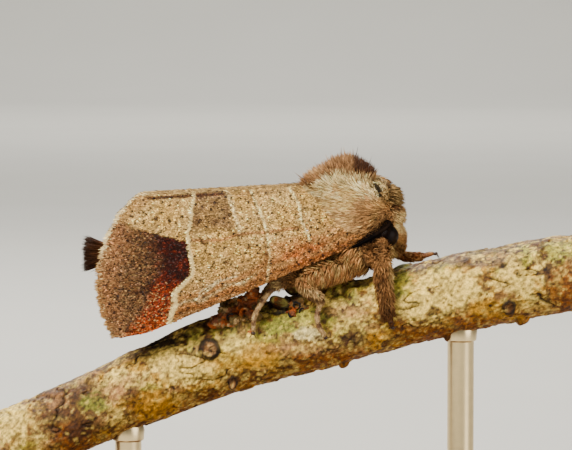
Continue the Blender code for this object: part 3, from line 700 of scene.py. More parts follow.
def wing_ground(x, z, wavy, fine):
    """The wing's ground colour, from the straw of its middle to the pinker front edge."""
    colour = mix(STRAW, PALE, ramp(wavy, -0.15, 0.2) * 0.6)
    colour = mix(colour, TAN, ramp(fine, 0.0, 0.3) * 0.35)
    low = (z - costa_z(x)) + 0.3 * wavy
    # Pinker brown towards the front edge, with darker and paler stripes along it.
    colour = mix(colour, PINK_BROWN, ramp(low, 2.2, 0.6) * 0.55)
    stripes = 0.5 + 0.5 * np.sin(low * 9.0 + wavy * 5)
    colour = mix(colour, RUST, ramp(low, 1.5, 0.5) * stripes * 0.75)
    colour = mix(colour, CREAM, ramp(low, 1.4, 0.6) * ramp(stripes, 0.3, 0.0) * ramp(x, -1.5, -2.5) * 0.3)
    colour = mix(colour, RUST * 0.7, ramp(low, 0.3, 0.08) * 0.7)
    # Orange tint near the wing's base.
    orange = np.exp(-(((x - 0.7) / 1.5) ** 2 + ((z - 22.0) / 0.75) ** 2))
    colour = mix(colour, ORANGE, np.clip(orange * (0.6 + 0.8 * fine) * 0.75, 0, 0.75))
    streaky = noise(np.stack([x + z, (z - 0.5 * x) * 5], axis=-1), 0.7, 15)
    base = np.exp(-(((x - 2.6) / 1.3) ** 2 + ((z - 22.7) / 0.8) ** 2)) * ramp(streaky, 0.4, 0.7)
    colour = mix(colour, ORANGE, base * 0.22)
    # Grey-brown band at the hind edge, before the outer line.
    beyond = line_x(z, OUTER_LINE)
    band = ramp(x - line_x(z, BAND_EDGE), 0.15, -0.1) * ramp(x - beyond, 0.1, 0.3) * ramp(z, 22.7, 23.6)
    colour = mix(colour, GREY_BROWN, band * (0.72 + 0.6 * fine))
    behind = ramp(np.abs(x - line_x(z, BAND_EDGE) - 0.2), 0.2, 0.05) * ramp(z, 22.7, 23.4)
    colour = mix(colour, CREAM, behind * 0.4)
    return colour


def tip_colour(x, z, wavy, fine):
    """The chocolate tip: maroon beside the outer line, red below it and brown towards the edge."""
    flat = np.stack([x, z], axis=-1)
    reach = line_x(z, OUTER_LINE) - x
    near_edge = x - line_x(z, TERMEN)
    patch = mix(GREY_BROWN, BROWN, ramp(fine, -0.2, 0.2) * 0.5)
    patch = mix(patch, PINK_BROWN, ramp(near_edge + 0.6 * wavy, 2.0, 0.5) * 0.85)
    patch = mix(patch, FAWN, ramp(near_edge + 0.5 * fine, 0.9, 0.2) * 0.35)
    dusk = ramp(reach + 0.6 * wavy, 4.4, 1.6) * ramp(z, 18.9, 20.4)
    patch = mix(patch, PATCH_DUSK, dusk * 0.75)
    dark = ramp(reach + 0.5 * wavy, 2.7, 1.5) * ramp(z, 18.9, 20.0)
    patch = mix(patch, MAROON, dark * 0.95)
    patch = mix(patch, BLACK_BROWN, dark * ramp(rough(flat, 0.8, 3, 9), 0.5, 0.7) * 0.5)
    red = ramp(x - line_x(z, RED_EDGE) + 0.5 * wavy, -0.25, 0.35) * ramp(z + 0.4 * wavy, 20.4, 19.5)
    patch = mix(patch, RED, red * (0.78 + 0.5 * fine))
    glow = ramp(z, 18.6, 17.4) * red
    patch = mix(patch, ORANGE, glow * 0.35)
    mottle = ramp(rough(flat, 0.3, 2, 12), 0.55, 0.75) * dark
    patch = mix(patch, RED, mottle * 0.3)
    corner = ramp(np.hypot(x + 10.4, z - 17.2), 1.2, 0.3)
    patch = mix(patch, GREY_BROWN, corner * 0.5)
    dust = ramp(hashed(np.round(flat / 0.07), 13), 0.8, 0.84) * np.maximum(red * 0.7, 0.25 * (1 - dark))
    patch = mix(patch, PALE, dust * 0.8)
    soot = ramp(hashed(np.round(flat / 0.08), 14), 0.82, 0.86) * ramp(near_edge, 0.0, 0.6)
    patch = mix(patch, BLACK_BROWN, soot * 0.75)
    return patch


def wing_lines(colour, x, z, fine):
    """The colour with the pale and dark lines and the dots laid over it."""
    for line, half, strength, shade in PALE_LINES:
        distance, along = line_distance(x, z, line)
        fade = between(0.45, 1.0, ramp(along, 0.75, 0.5)) if line is MEDIAN_LINE else 1.0
        lit = ramp(distance + 0.05 * fine, half + 0.06, half - 0.03) * strength * fade
        colour = mix(colour, shade, lit)
    distance, _ = line_distance(x - 0.14, z, BASAL_LINE)
    colour = mix(colour, BROWN, ramp(distance, 0.14, 0.02) * 0.5)
    distance, _ = line_distance(x + 0.16, z, MEDIAN_LINE)
    colour = mix(colour, BROWN, ramp(distance, 0.12, 0.03) * 0.5)
    for dot_x, dot_z in WING_DOTS:
        colour = mix(colour, DARK_BROWN, ramp(np.hypot(x - dot_x, z - dot_z), 0.2, 0.09) * 0.85)
    distance, _ = line_distance(x, z, OBLIQUE_LINE)
    colour = mix(colour, OBLIQUE_BROWN, ramp(distance + 0.1 * fine, 0.15, 0.03) * 0.75)
    dark_side = ramp(np.abs(x - line_x(z, OUTER_LINE) - 0.2), 0.2, 0.05) * ramp(z, 22.6, 23.2)
    colour = mix(colour, DARK_BROWN, dark_side * 0.4)
    return mix(colour, LINE_CREAM, outer_line(x, z) * 0.95)


# The forewings.


def roof_y(x, z):
    """How far out the roof of the wings lies at a place in the side view."""
    share = (ridge_z(x) - z) / (ridge_z(x) - costa_z(x))
    (width,) = read_rows(x, WING_WIDTH, 1)
    turn = ROLL * np.clip(share, 0.0, 1.1) ** ROUNDING
    return RIDGE_HALF + (width - RIDGE_HALF) * np.sin(turn) / math.sin(ROLL)


def roof_point(x, z, depth, side):
    """Points that far under the roof's outer face, on the side asked for, and the face's normals."""
    step = 0.1
    along = (roof_y(x + step, z) - roof_y(x - step, z)) / (2 * step)
    down = (roof_y(x, z + step) - roof_y(x, z - step)) / (2 * step)
    normal = unit(np.stack([-along, np.ones_like(x), -down], axis=-1))
    points = np.stack([x, roof_y(x, z), z], axis=-1) - normal * np.asarray(depth)[..., None]
    points[..., 1] = np.maximum(points[..., 1], RIDGE_HALF * 0.5)
    if side > 0:
        points[..., 0] -= FAR_SHIFT * ramp(x, -7.0, -10.0) * ramp(z, 20.5, 18.5)
    return points * (1, side, 1), normal * (1, side, 1)


def forewing_place(u, v):
    """The side view of a forewing: u from root to outer edge, v from hind edge to front edge."""
    hind_x = FORE_HIND_EDGE[0] + (FORE_HIND_EDGE[1] - FORE_HIND_EDGE[0]) * u
    front_x = FORE_FRONT_EDGE[0] + (FORE_FRONT_EDGE[1] - FORE_FRONT_EDGE[0]) * u
    x = hind_x + (front_x - hind_x) * v
    z = ridge_z(hind_x) + (costa_z(front_x) - ridge_z(hind_x)) * v
    bulge = np.sin(math.pi * np.clip(v, 0, 1)) ** TERMEN_ROUND
    z = z + APEX_LIFT * ramp(u, 0.88, 1.0) * ramp(v, 0.7, 1.0)
    return x - TERMEN_BULGE * bulge * u**4 - APEX_LIFT * ramp(u, 0.9, 1.0) * ramp(v, 0.85, 1.0), z


def hindwing_place(u, v):
    """The side view of a hindwing, a fan folded under the forewing."""
    share = HIND_START[1] + (HIND_END[1] - HIND_START[1]) * v
    x = HIND_START[0] + (HIND_END[0] - HIND_START[0]) * u
    x = x - HIND_BULGE * np.sin(math.pi * np.clip(v, 0, 1)) ** HIND_ROUND * u**3
    return x, ridge_z(x) + (costa_z(x) - ridge_z(x)) * share


def vein_lift(u, v, veins):
    """The veins' height at places on a wing, as a share of the highest."""
    lift = np.zeros_like(u)
    for share, begins in veins:
        grown = ramp(u, begins - 0.02, begins + 0.1) if begins else 1.0
        lift = np.maximum(lift, grown * np.exp(-(((v - share) / VEIN_WIDE) ** 2)))
    return lift


def hindwing_tint(points):
    """The hindwing's plain grey-brown."""
    fine = rough(points, 0.4, 2, 21)
    return mix(HINDWING_DARK, HINDWING_PALE, fine)


# Each wing's place in the side view, depth under the roof, veins, columns, rows, tint and slot.
WING_SHEETS = {
    "forewing": (forewing_place, 0.0, FORE_VEINS, 130, 90, wing_tint, "wing"),
    "hindwing": (hindwing_place, HIND_DEPTH, HIND_VEINS, 70, 50, hindwing_tint, "hindwing"),
}


def wing_sheet(kind, side, word, material):
    """A wing's thin membrane, with its veins raised on the outer face."""
    place, depth, veins, columns, rows, tint, slot = WING_SHEETS[kind]
    u, v = np.meshgrid(np.linspace(0, SHEET_END, columns), np.linspace(0, 1, rows), indexing="ij")
    x, z = place(u, v)
    lift = VEIN_LIFT * vein_lift(u, v, veins)
    outer, _ = roof_point(x, z, depth - lift, side)
    inner, _ = roof_point(x, z, np.full_like(x, depth + WING_SHEET), side)
    count = columns * rows
    faces = grid_faces(columns, rows)
    index = np.arange(count).reshape(columns, rows)
    loop = np.concatenate([index[:, 0], index[-1, 1:], index[-2::-1, -1], index[0, -2:0:-1]])
    after = np.roll(loop, -1)
    rim = np.stack([loop, after, after + count, loop + count], axis=1)
    quads = np.vstack([faces, faces[:, ::-1] + count, rim])
    if side < 0:
        quads = quads[:, ::-1]
    points = np.vstack([outer.reshape(-1, 3), inner.reshape(-1, 3)])
    mesh = make_mesh(f"{kind}_membrane_{word}", points, [quads])
    colours = tint(points)
    under = points[count:]
    below = mix(GREY_BROWN, STRAW, rough(under, 0.7, 3, 22)) * (0.6 + 0.8 * noise(under, 0.11, 23))[:, None]
    colours[count:] = mix(colours[count:], below, 0.85)
    set_tint(mesh, colours)
    add_piece(mesh, material, [f"{kind}_{word}"])


def wing_unwrap(u, v):
    """The place on the wing's unwrap, with a margin around."""
    return 0.02 + 0.96 * np.stack([u, v], axis=-1)


def scales(name, roots, normals, ways, sizes, colours, places, material):
    """Closed kites that lie on a surface like roof tiles, one for each root."""
    lengths, widths, lift = sizes
    side = unit(np.cross(normals, ways))
    ways = unit(np.cross(side, normals))
    long = ways * lengths[:, None]
    wide = side * (widths[:, None] / 2)
    up = normals * lift[:, None]
    middle = roots + long * 0.6
    corners = np.stack(
        [
            roots - normals * 0.01,
            middle - wide + up * 0.6,
            roots + long + up,
            middle + wide + up * 0.6,
            middle + up * 0.6 + normals * 0.016,
        ],
        axis=1,
    )
    pattern = np.array([(0, 3, 4), (3, 2, 4), (2, 1, 4), (1, 0, 4), (0, 1, 2), (0, 2, 3)])
    faces = (pattern[None] + 5 * np.arange(len(roots))[:, None, None]).reshape(-1, 3)
    mesh = make_mesh(name, corners.reshape(-1, 3), [faces], smooth=False)
    set_tint(mesh, np.repeat(colours, 5, axis=0))
    patch = np.array([(0, -1), (-1, 0.2), (0, 1), (1, 0.2), (0, 0.2)]) * PATCH_HALF
    set_unwrap(mesh, (places[:, None] + patch[None]).reshape(-1, 2))
    add_piece(mesh, material)


SCALE_COUNT = 30000


def speckle(colours, flat, draw):
    """Single scales lighter or darker than the marking they belong to, and small dark dots."""
    count = len(colours)
    clump = noise(flat, 0.16, 33) - 0.5
    colours = colours * np.exp(draw.normal(-0.02, 0.5, count) + 0.9 * clump)[:, None]
    dot = np.clip(1.4 * spots(flat, 0.38, 0.125, 31), 0, 1) * (draw.random(count) < 0.9)
    colours = mix(colours, BLACK_BROWN, dot * 0.9)
    dark = draw.random(count) < 0.09
    colours = mix(colours, BLACK_BROWN, dark * 0.7)
    pale = draw.random(count) < 0.1
    return np.clip(mix(colours, colours * 1.7 + 0.02, pale * 1.0), 0.0, 0.95)


def forewing_scales(side, word, material):
    """The scales of a forewing, each coloured by the marking where it grows."""
    draw = np.random.default_rng(40)
    u = draw.random(SCALE_COUNT) ** 0.92 * SHEET_END
    v = draw.random(SCALE_COUNT)
    x, z = forewing_place(u, v)
    roots, normals = roof_point(x, z, -VEIN_LIFT * vein_lift(u, v, FORE_VEINS), side)
    x2, z2 = forewing_place(u + 0.01, v)
    ahead, _ = roof_point(x2, z2, np.zeros_like(x2), side)
    ways = unit(ahead - roots) + draw.normal(0, 0.12, (SCALE_COUNT, 3))
    lengths = draw.uniform(0.13, 0.21, SCALE_COUNT)
    widths = draw.uniform(0.07, 0.11, SCALE_COUNT)
    lift = draw.uniform(0.015, 0.04, SCALE_COUNT)
    flat = np.stack([x, z], axis=-1)
    colours = speckle(wing_tint(roots), flat, draw)
    line = outer_line(*side_view(roots + 0.6 * unit(ways) * lengths[:, None]))
    colours = mix(colours, LINE_CREAM * draw.uniform(0.7, 1.15, (SCALE_COUNT, 1)), line * 0.85)
    name = f"forewing_scales_{word}"
    scales(name, roots, normals, ways, (lengths, widths, lift), colours, wing_unwrap(u, v), material)


FRINGE_COUNT = 3600


def wing_fringe(side, word, material):
    """Long scales past the outer edge, longer and paler between the veins' ends, and along the ridge."""
    draw = np.random.default_rng(41)
    v = draw.random(FRINGE_COUNT) * 0.985 + 0.005
    u = draw.uniform(SHEET_END - 0.015, SHEET_END, FRINGE_COUNT)
    hind = draw.random(FRINGE_COUNT) < 0.38
    v = np.where(hind, draw.uniform(0.0, 0.03, FRINGE_COUNT), v)
    u = np.where(hind, draw.random(FRINGE_COUNT) * 0.965, u)
    x, z = forewing_place(u, v)
    roots, normals = roof_point(x, z, draw.uniform(-0.03, 0.03, FRINGE_COUNT), side)
    before, _ = roof_point(*forewing_place(u - 0.02, v), np.zeros_like(x), side)
    ways = unit(roots - before) + draw.normal(0, 0.1, (FRINGE_COUNT, 3))
    ways = ways + np.where(hind, 0.22, 0.0)[:, None] * np.array((0.0, -0.5 * side, 0.4))
    vein = np.max([np.exp(-(((v - share) / 0.018) ** 2)) for share, _ in FORE_VEINS], axis=0)
    lengths = draw.uniform(0.3, 0.44, FRINGE_COUNT) * between(1.0, 0.6, np.where(hind, 0.0, vein))
    lengths *= np.where(hind, 1.0, between(0.4, 1.0, ramp(v, 0.0, 0.15)))
    widths = draw.uniform(0.05, 0.08, FRINGE_COUNT)
    lift = draw.uniform(0.0, 0.04, FRINGE_COUNT)
    upper = ramp(z, 21.4, 22.4)
    colours = mix(mix(TAN, CREAM, upper), BROWN, vein * (1 - 0.8 * upper) * 0.8)
    pale = draw.random(FRINGE_COUNT) < 0.35
    colours = mix(colours, CREAM, pale * 0.5)
    strip = mix(GREY_BROWN, PALE, draw.random(FRINGE_COUNT) * ramp(u, 0.0, 0.3))
    colours = np.where(hind[:, None], mix(strip, CREAM, ramp(u, 0.9, 0.96)), colours)
    short = ~hind & (draw.random(FRINGE_COUNT) < 0.55)
    lengths *= np.where(short, between(0.6, 0.35, upper), 1.1)
    colours = np.where(short[:, None], wing_tint(before), colours)
    colours = colours * np.exp(draw.normal(0.0, 0.25, FRINGE_COUNT))[:, None]
    lift = lift + 0.02 * short
    name = f"forewing_fringe_{word}"
    scales(name, roots, normals, ways, (lengths, widths, lift), colours, wing_unwrap(u, v), material)


def build_wings():
    """Both pairs of wings, the forewings with their scales and fringe."""
    membrane = tinted("wing membrane", 0.8, 0.25, 0.08, 0.02, 0.08, Specular_IOR_Level=0.1)
    scale = tinted("wing scales", 0.7, 0.1, 0.05, Specular_IOR_Level=0.08)
    for side, word in SIDES:
        for kind in WING_SHEETS:
            wing_sheet(kind, side, word, membrane)
        forewing_scales(side, word, scale)
        wing_fringe(side, word, scale)


# The body.


def oval_tube(stations, count, sides, grow):
    """Points and faces of a trunk through stations, with domed ends and its skin moved out by grow."""
    rows = smooth_rows(stations, count)
    turns = full_turn(sides)
    reach = np.where(np.sin(turns) > 0, rows[:, 3:4], rows[:, 4:5]) + grow
    y = np.cos(turns) * (rows[:, 2:3] + grow)
    z = rows[:, 1:2] + np.sin(turns) * reach
    x = np.repeat(rows[:, :1], sides, axis=1)
    rings = np.stack([x, y, z], axis=-1).reshape(-1, 3)
    first = (rows[0, 0] - math.copysign(0.35 * rows[0, 2], rows[1, 0] - rows[0, 0]), 0.0, rows[0, 1])
    last = (rows[-1, 0] + math.copysign(0.35 * rows[-1, 2], rows[-1, 0] - rows[-2, 0]), 0.0, rows[-1, 1])
    corners = np.vstack([rings, first, last])
    return corners, grid_faces(count, sides, wrap=True), end_caps(count, sides)


def ball(middle, half, columns=32, rows=20):
    """Points and faces of a rounded body."""
    around = full_turn(columns)
    down = np.linspace(0, math.pi, rows + 1)[1:-1]
    ring = np.stack(
        [
            np.sin(down)[:, None] * np.cos(around),
            np.sin(down)[:, None] * np.sin(around),
            np.repeat(np.cos(down)[:, None], columns, axis=1),
        ],
        axis=-1,
    ).reshape(-1, 3)
    corners = np.vstack([ring, (0, 0, 1), (0, 0, -1)]) * np.array(half) + np.array(middle)
    return corners, grid_faces(rows - 1, columns, wrap=True), end_caps(rows - 1, columns)


def mirrored(stations, side):
    """Stations of the left side, moved to the side asked for."""
    return [(s[0], side * s[1], *s[2:]) for s in stations]


def leg_list():
    """Each leg as its name, kind and stations."""
    found = []
    for kind, stations in LEGS.items():
        for side, word in SIDES:
            used = FAR_FORELEG if kind == "foreleg" and side > 0 else stations
            found.append((f"{kind}_{word}", kind, mirrored(used, side)))
    return found


SKIN_VOXEL = 0.11
# How far the skin lies under the trunk's, the abdomen's and the head's own size, to leave room for fur.
THORAX_DEPTH = 0.2
ABDOMEN_DEPTH = 0.08
HEAD_DEPTH = 0.12
# Rounded bodies that fill out trunk and head: middle and half sizes.
WAIST = ((0.5, 0.0, 23.2), (1.2, 0.85, 0.9))
NECK = ((5.5, 0.0, 23.3), (0.9, 0.8, 0.9))
# The furry top of the near foreleg, beside the eye.
COXA = ((5.66, -2.3, 21.9), (0.42, 0.4, 0.58))
# The raised front of the trunk under the collar, and the crown of the head.
COLLAR = ((5.05, 0.0, 25.3), (1.35, 1.15, 1.0))
VERTEX = ((6.2, 0.0, 24.2), (0.5, 0.85, 0.75))
# The left side of the chest, and the left palp: x, y, z, radius.
CHEST = ((4.35, 1.35, 21.75), (1.25, 0.75, 0.75))
PALP_LINE = ((6.1, 0.28, 22.7, 0.3), (6.5, 0.3, 22.35, 0.26), (6.85, 0.3, 22.1, 0.18))


def palp_path(side):
    """A palp's middle line and radii."""
    rows = smooth_rows(mirrored(PALP_LINE, side), 12)
    return rows[:, :3], rows[:, 3]


def leg_radii(kind, rows):
    """A leg's bare radius along it, thinner than the solid where long hair covers it."""
    share = np.linspace(0, 1, len(rows))
    furry = ramp(share, FURRY_SHARE[kind] + 0.1, FURRY_SHARE[kind] - 0.1)
    joints = 1 + 0.12 * np.abs(np.sin(share * math.pi * 7)) * (1 - furry)
    return rows[:, 3] * between(0.62 * joints, 0.66, furry)


def one_surface(parts, voxel, rounds):
    """One closed surface around overlapping parts, softened, as points and four-cornered faces."""
    bm = bmesh.new()
    for corners, quads, triangles in parts:
        verts = [bm.verts.new(c) for c in corners]
        for face in list(quads) + list(triangles):
            bm.faces.new([verts[i] for i in face])
    bmesh.ops.recalc_face_normals(bm, faces=bm.faces[:])
    mesh = bpy.data.meshes.new("parts")
    bm.to_mesh(mesh)
    bm.free()
    obj = bpy.data.objects.new("parts", mesh)
    bpy.context.scene.collection.objects.link(obj)
    remesh = obj.modifiers.new("skin", "REMESH")
    remesh.mode = "VOXEL"
    remesh.voxel_size = voxel
    soften = obj.modifiers.new("soften", "SMOOTH")
    soften.factor = 0.5
    soften.iterations = rounds
    graph = bpy.context.evaluated_depsgraph_get()
    made = bpy.data.meshes.new_from_object(obj.evaluated_get(graph))
    bpy.data.objects.remove(obj)
    points = np.empty(len(made.vertices) * 3, np.float32)
    made.vertices.foreach_get("co", points)
    faces = np.array([tuple(p.vertices) for p in made.polygons if len(p.vertices) == 4])
    return points.reshape(-1, 3).astype(float), faces


def build_skin():
    """One surface over trunk, head, abdomen and legs."""
    abdomen = [(x, z, width, height, height) for x, z, width, height in ABDOMEN]
    parts = [oval_tube(THORAX, 40, 48, -THORAX_DEPTH), oval_tube(abdomen, 60, 36, -ABDOMEN_DEPTH)]
    head = (HEAD_MIDDLE, np.array(HEAD_HALF) - HEAD_DEPTH)
    for middle, half in (WAIST, head, NECK, COXA, COLLAR, VERTEX):
        parts.append(ball(middle, half))
    for side, _ in SIDES:
        parts.append(ball(np.array(CHEST[0]) * (1, side, 1), CHEST[1]))
        parts.append(tube(*palp_path(side), 16))
    for _, kind, stations in leg_list():
        rows = smooth_rows(stations, 60)
        parts.append(tube(rows[:, :3], leg_radii(kind, rows), 16))
    points, faces = one_surface(parts, SKIN_VOXEL, 3)
    mesh = make_mesh("moth_skin", points, [faces])
    set_tint(mesh, body_tint(points))
    skin = tinted("skin", 0.75, 0.3, 0.12, 0.03, 0.1)
    flesh = ["head", "thorax", "abdomen"] + [name for name, _, _ in leg_list()]
    add_piece(mesh, skin, flesh)
    return points, faces


# The body's colours.

COLLAR_LINE = pixels((393, 180), (388, 186), (393, 196), (394.5, 205), (397, 215))
GROOVE_LINE = pixels((341, 172), (356, 177), (370, 179), (382, 182), (388, 186))
CREST_EDGE = pixels(
    (300, 187), (312, 184), (322, 178), (330, 172), (341, 170), (352, 173), (368, 175), (385, 177)
)
STREAK = pixels((372, 185.5), (375.5, 190), (378, 196))
BLACK_MARK = pixels((375.5, 185.5), (378.5, 189.5), (380.5, 195.5))
FLANK_SPOT = pixels((345, 215))[0]
FLANK_EDGE = pixels((353, 246), (388.7, 222))
CREST_HIGHLIGHT = pixels((326, 177))[0]


def collar_share(x, z):
    """1 on the collar, the band of the trunk's front in front of the groove and the collar line."""
    ahead = ramp(x - line_x(z, COLLAR_LINE), 0.0, 0.2) * ramp(z, 23.8, 24.1)
    above = ramp(z - line_z(x, GROOVE_LINE), 0.02, 0.2) * ramp(x, 5.0, 5.4)
    return np.maximum(ahead, above)


def body_tint(points):
    """The coat's colour at places on the body."""
    points = np.asarray(points, float)
    x, z = side_view(points)
    clump = rough(points, 0.6, 3, 60) - 0.5
    fine = rough(points, 0.22, 2, 61) - 0.5
    colour = mix(FAWN, PALE, ramp(clump + 0.15 * (z - 24.8), -0.1, 0.2) * 0.9)
    colour = mix(colour, CREAM, ramp(fine + 0.2 * (z - 25.2), -0.04, 0.16) * 0.6)
    # Mottled brown towards the eye and on the lower flank.
    front = ramp(x + 0.5 * clump, 3.6, 4.8) * ramp(z, 25.4, 24.6)
    colour = mix(colour, RUST, front * 0.5)
    colour = mix(colour, BROWN, ramp(fine, 0.02, 0.14) * front * 0.55)
    # The crest: red-brown behind, chocolate in front, tan between them and the groove.
    above = z - line_z(x, CREST_EDGE)
    crest = ramp(above + 0.15 * clump, -0.1, 0.15) * ramp(x, 6.3, 5.9)
    colour = mix(colour, mix(CREST_RUST, FAWN, ramp(clump, 0.0, 0.2) * 0.6), crest * 0.85)
    dark = ramp(above, 0.05, 0.3) * ramp(x + 0.5 * clump, 3.7, 4.3) * ramp(x, 5.75, 5.35)
    colour = mix(colour, CHOCOLATE, dark * 0.95)
    tail = ramp(x, 1.5, 1.0) * crest
    colour = mix(colour, BROWN, tail * 0.5)
    # Painted highlight: a cream patch on the crest.
    highlight = ramp(np.hypot(x - CREST_HIGHLIGHT[0], (z - CREST_HIGHLIGHT[1]) * 1.3) + 0.3 * fine, 0.5, 0.15)
    colour = mix(colour, CREAM, highlight * 0.8)
    distance, _ = line_distance(x, z, GROOVE_LINE)
    colour = mix(colour, DARK_BROWN, ramp(distance, 0.14, 0.02) * 0.75)
    # In front of the collar line a grey-brown band, and a dark line behind it.
    ahead = collar_share(x, z)
    colour = mix(colour, mix(COLLAR_BROWN, TAN, ramp(fine, -0.1, 0.15)), ahead * (1 - dark) * 0.9)
    distance, _ = line_distance(x, z, COLLAR_LINE)
    colour = mix(colour, DARK_BROWN, ramp(distance, 0.22, 0.08) * 0.95)
    smooth = ramp(np.hypot((x - 5.95) / 0.55, z - 25.1), 0.9, 0.4) * (1 - ahead)
    colour = mix(colour, TAN, smooth * 0.6)
    distance, _ = line_distance(x, z, STREAK)
    colour = mix(colour, CREAM, ramp(distance, 0.2, 0.1) * 0.8)
    distance, _ = line_distance(x, z, BLACK_MARK)
    colour = mix(colour, BLACK, ramp(distance, 0.14, 0.07) * 0.95)
    spot = ramp(np.hypot(x - FLANK_SPOT[0], z - FLANK_SPOT[1]), 0.24, 0.08)
    colour = mix(colour, DARK_BROWN, spot * 0.75)
    # The face is pale above and browner below.
    face = ramp(x, 6.35, 6.6) * ramp(z, 24.5, 24.1)
    light = mix(FAWN, FACE_CREAM, 0.45 + 0.5 * ramp(fine, -0.12, 0.1))
    colour = mix(colour, light, face * ramp(z, 22.7, 23.3) * 0.85)
    colour = mix(colour, mix(BROWN, TAN, ramp(fine, -0.1, 0.1)), face * ramp(z, 23.2, 22.5) * 0.85)
    colour = leg_tint(colour, points, x, z, clump, fine)
    # The abdomen is greyer, dark at its end.
    rear = ramp(points[:, 0], 0.8, -0.4) * ramp(z, 20.4, 20.9) * ramp(np.abs(points[:, 1]), 1.5, 1.3)
    colour = mix(colour, mix(GREY_BROWN, TAN, ramp(clump, -0.2, 0.2)), rear * 0.8)
    return mix(colour, CHOCOLATE, ramp(points[:, 0], -9.6, -10.6))


def leg_tint(colour, points, x, z, clump, fine):
    """The colour with that of the underside and the legs laid over it."""
    under = ramp(z - line_z(x, FLANK_EDGE) + 0.2 * clump, 0.0, -0.25)
    under = under * ramp(z, 22.9, 22.3) * ramp(x, 6.5, 6.2)
    under = np.maximum(under, ramp(z, 22.0, 21.6))
    brown = mix(UNDER_TAN, UNDER_BROWN, ramp(fine + 0.5 * clump, -0.05, 0.15) * 0.8)
    colour = mix(colour, brown, under * 0.9)
    foot = ramp(x, 5.0, 5.3) * ramp(x, 7.0, 6.7)
    # Painted highlight: the near foreleg's front edge is paler.
    lit = ramp(x + 0.25 * fine, 6.05, 6.4) * ramp(x, 6.7, 6.5) * ramp(z, 19.4, 20.2) * ramp(z, 22.6, 22.2)
    colour = mix(colour, PALE, lit * 0.7)
    colour = mix(colour, FOOT_BROWN, foot * ramp(z + 0.4 * clump, 18.9, 18.0) * 0.75)
    thigh = ramp(z, 19.2, 19.8) * ramp(z, 22.4, 21.9) * ramp(x, 0.4, 1.2) * ramp(x, 5.0, 4.2)
    colour = mix(colour, mix(THIGH_TAN, PALE, ramp(fine, -0.1, 0.15) * 0.7), thigh * 0.72)
    far = ramp(points[:, 1], 0.3, 0.8) * ramp(points[:, 0], 6.2, 6.8) * ramp(points[:, 2], 22.4, 22.2)
    colour = mix(colour, mix(FAR_LEG_BROWN, FAR_LEG_TAN, ramp(fine, 0.0, 0.15)), far * 0.9)
    thin = ramp(z, 19.75, 19.5) * ramp(x, 5.0, 4.6) + ramp(x, 0.0, -0.5) * ramp(z, 20.6, 20.3)
    bands = ramp(np.sin(z * 8.5 + x * 2), 0.2, 0.6)
    tarsus = mix(TARSUS_PALE, TARSUS_BROWN, np.clip(bands * 0.6 + ramp(fine, 0.0, 0.1) * 0.5, 0, 0.9))
    return mix(colour, tarsus, np.clip(thin, 0, 1))


# Fur.


class Tufts(NamedTuple):
    """Tufts of hair: a line of four points each, the way off the skin, the width, the colours of
    root and tip, and the place on the skin's unwrap."""

    lines: np.ndarray
    ways_up: np.ndarray
    widths: np.ndarray
    colours: np.ndarray
    tips: np.ndarray
    places: np.ndarray


def tuft_mesh(name, tufts, material, replaced=()):
    """Closed three-sided spikes along the tufts' lines, joined in one mesh."""
    lines, ways_up, widths, colours, tips, places = tufts
    count = len(lines)
    ahead = np.empty((count, 3, 3))
    ahead[:, 0] = lines[:, 1] - lines[:, 0]
    ahead[:, 1] = lines[:, 2] - lines[:, 0]
    ahead[:, 2] = lines[:, 3] - lines[:, 1]
    ahead = unit(ahead)
    side = unit(np.cross(ahead, ways_up[:, None]))
    up = np.cross(side, ahead)
    wide = np.array((0.7, 1.0, 0.72))[None, :, None] * widths[:, None, None]
    rings = np.empty((count, 10, 3))
    for k in range(3):
        middle = lines[:, k]
        across = side[:, k] * wide[:, k] / 2
        high = up[:, k] * wide[:, k] * 0.42
        rings[:, 3 * k] = middle + across - high * 0.4
        rings[:, 3 * k + 1] = middle + high * 0.8
        rings[:, 3 * k + 2] = middle - across - high * 0.4
    rings[:, 9] = lines[:, 3]
    pattern = [(0, 1, 2)]
    for base in (0, 3):
        for i in range(3):
            j = (i + 1) % 3
            pattern.append((base + i, base + 3 + i, base + 3 + j))
            pattern.append((base + i, base + 3 + j, base + j))
    for i in range(3):
        pattern.append((6 + i, 9, 6 + (i + 1) % 3))
    pattern = np.array(pattern)
    faces = (pattern[None] + 10 * np.arange(count)[:, None, None]).reshape(-1, 3)
    mesh = make_mesh(name, rings.reshape(-1, 3), [faces])
    shares = np.array([0.0] * 3 + [0.35] * 3 + [0.75] * 3 + [1.0])
    shade = colours[:, None] * (1 - shares[None, :, None]) + tips[:, None] * shares[None, :, None]
    set_tint(mesh, shade.reshape(-1, 3))
    rows = np.array([-1, -1, -1, -0.3, -0.3, -0.3, 0.4, 0.4, 0.4, 1.0])
    columns = np.array([-1, 0, 1, -1, 0, 1, -1, 0, 1, 0])
    patch = np.stack([columns, rows], axis=-1) * PATCH_HALF
    set_unwrap(mesh, (places[:, None] + patch[None]).reshape(-1, 2))
    add_piece(mesh, material, replaced)


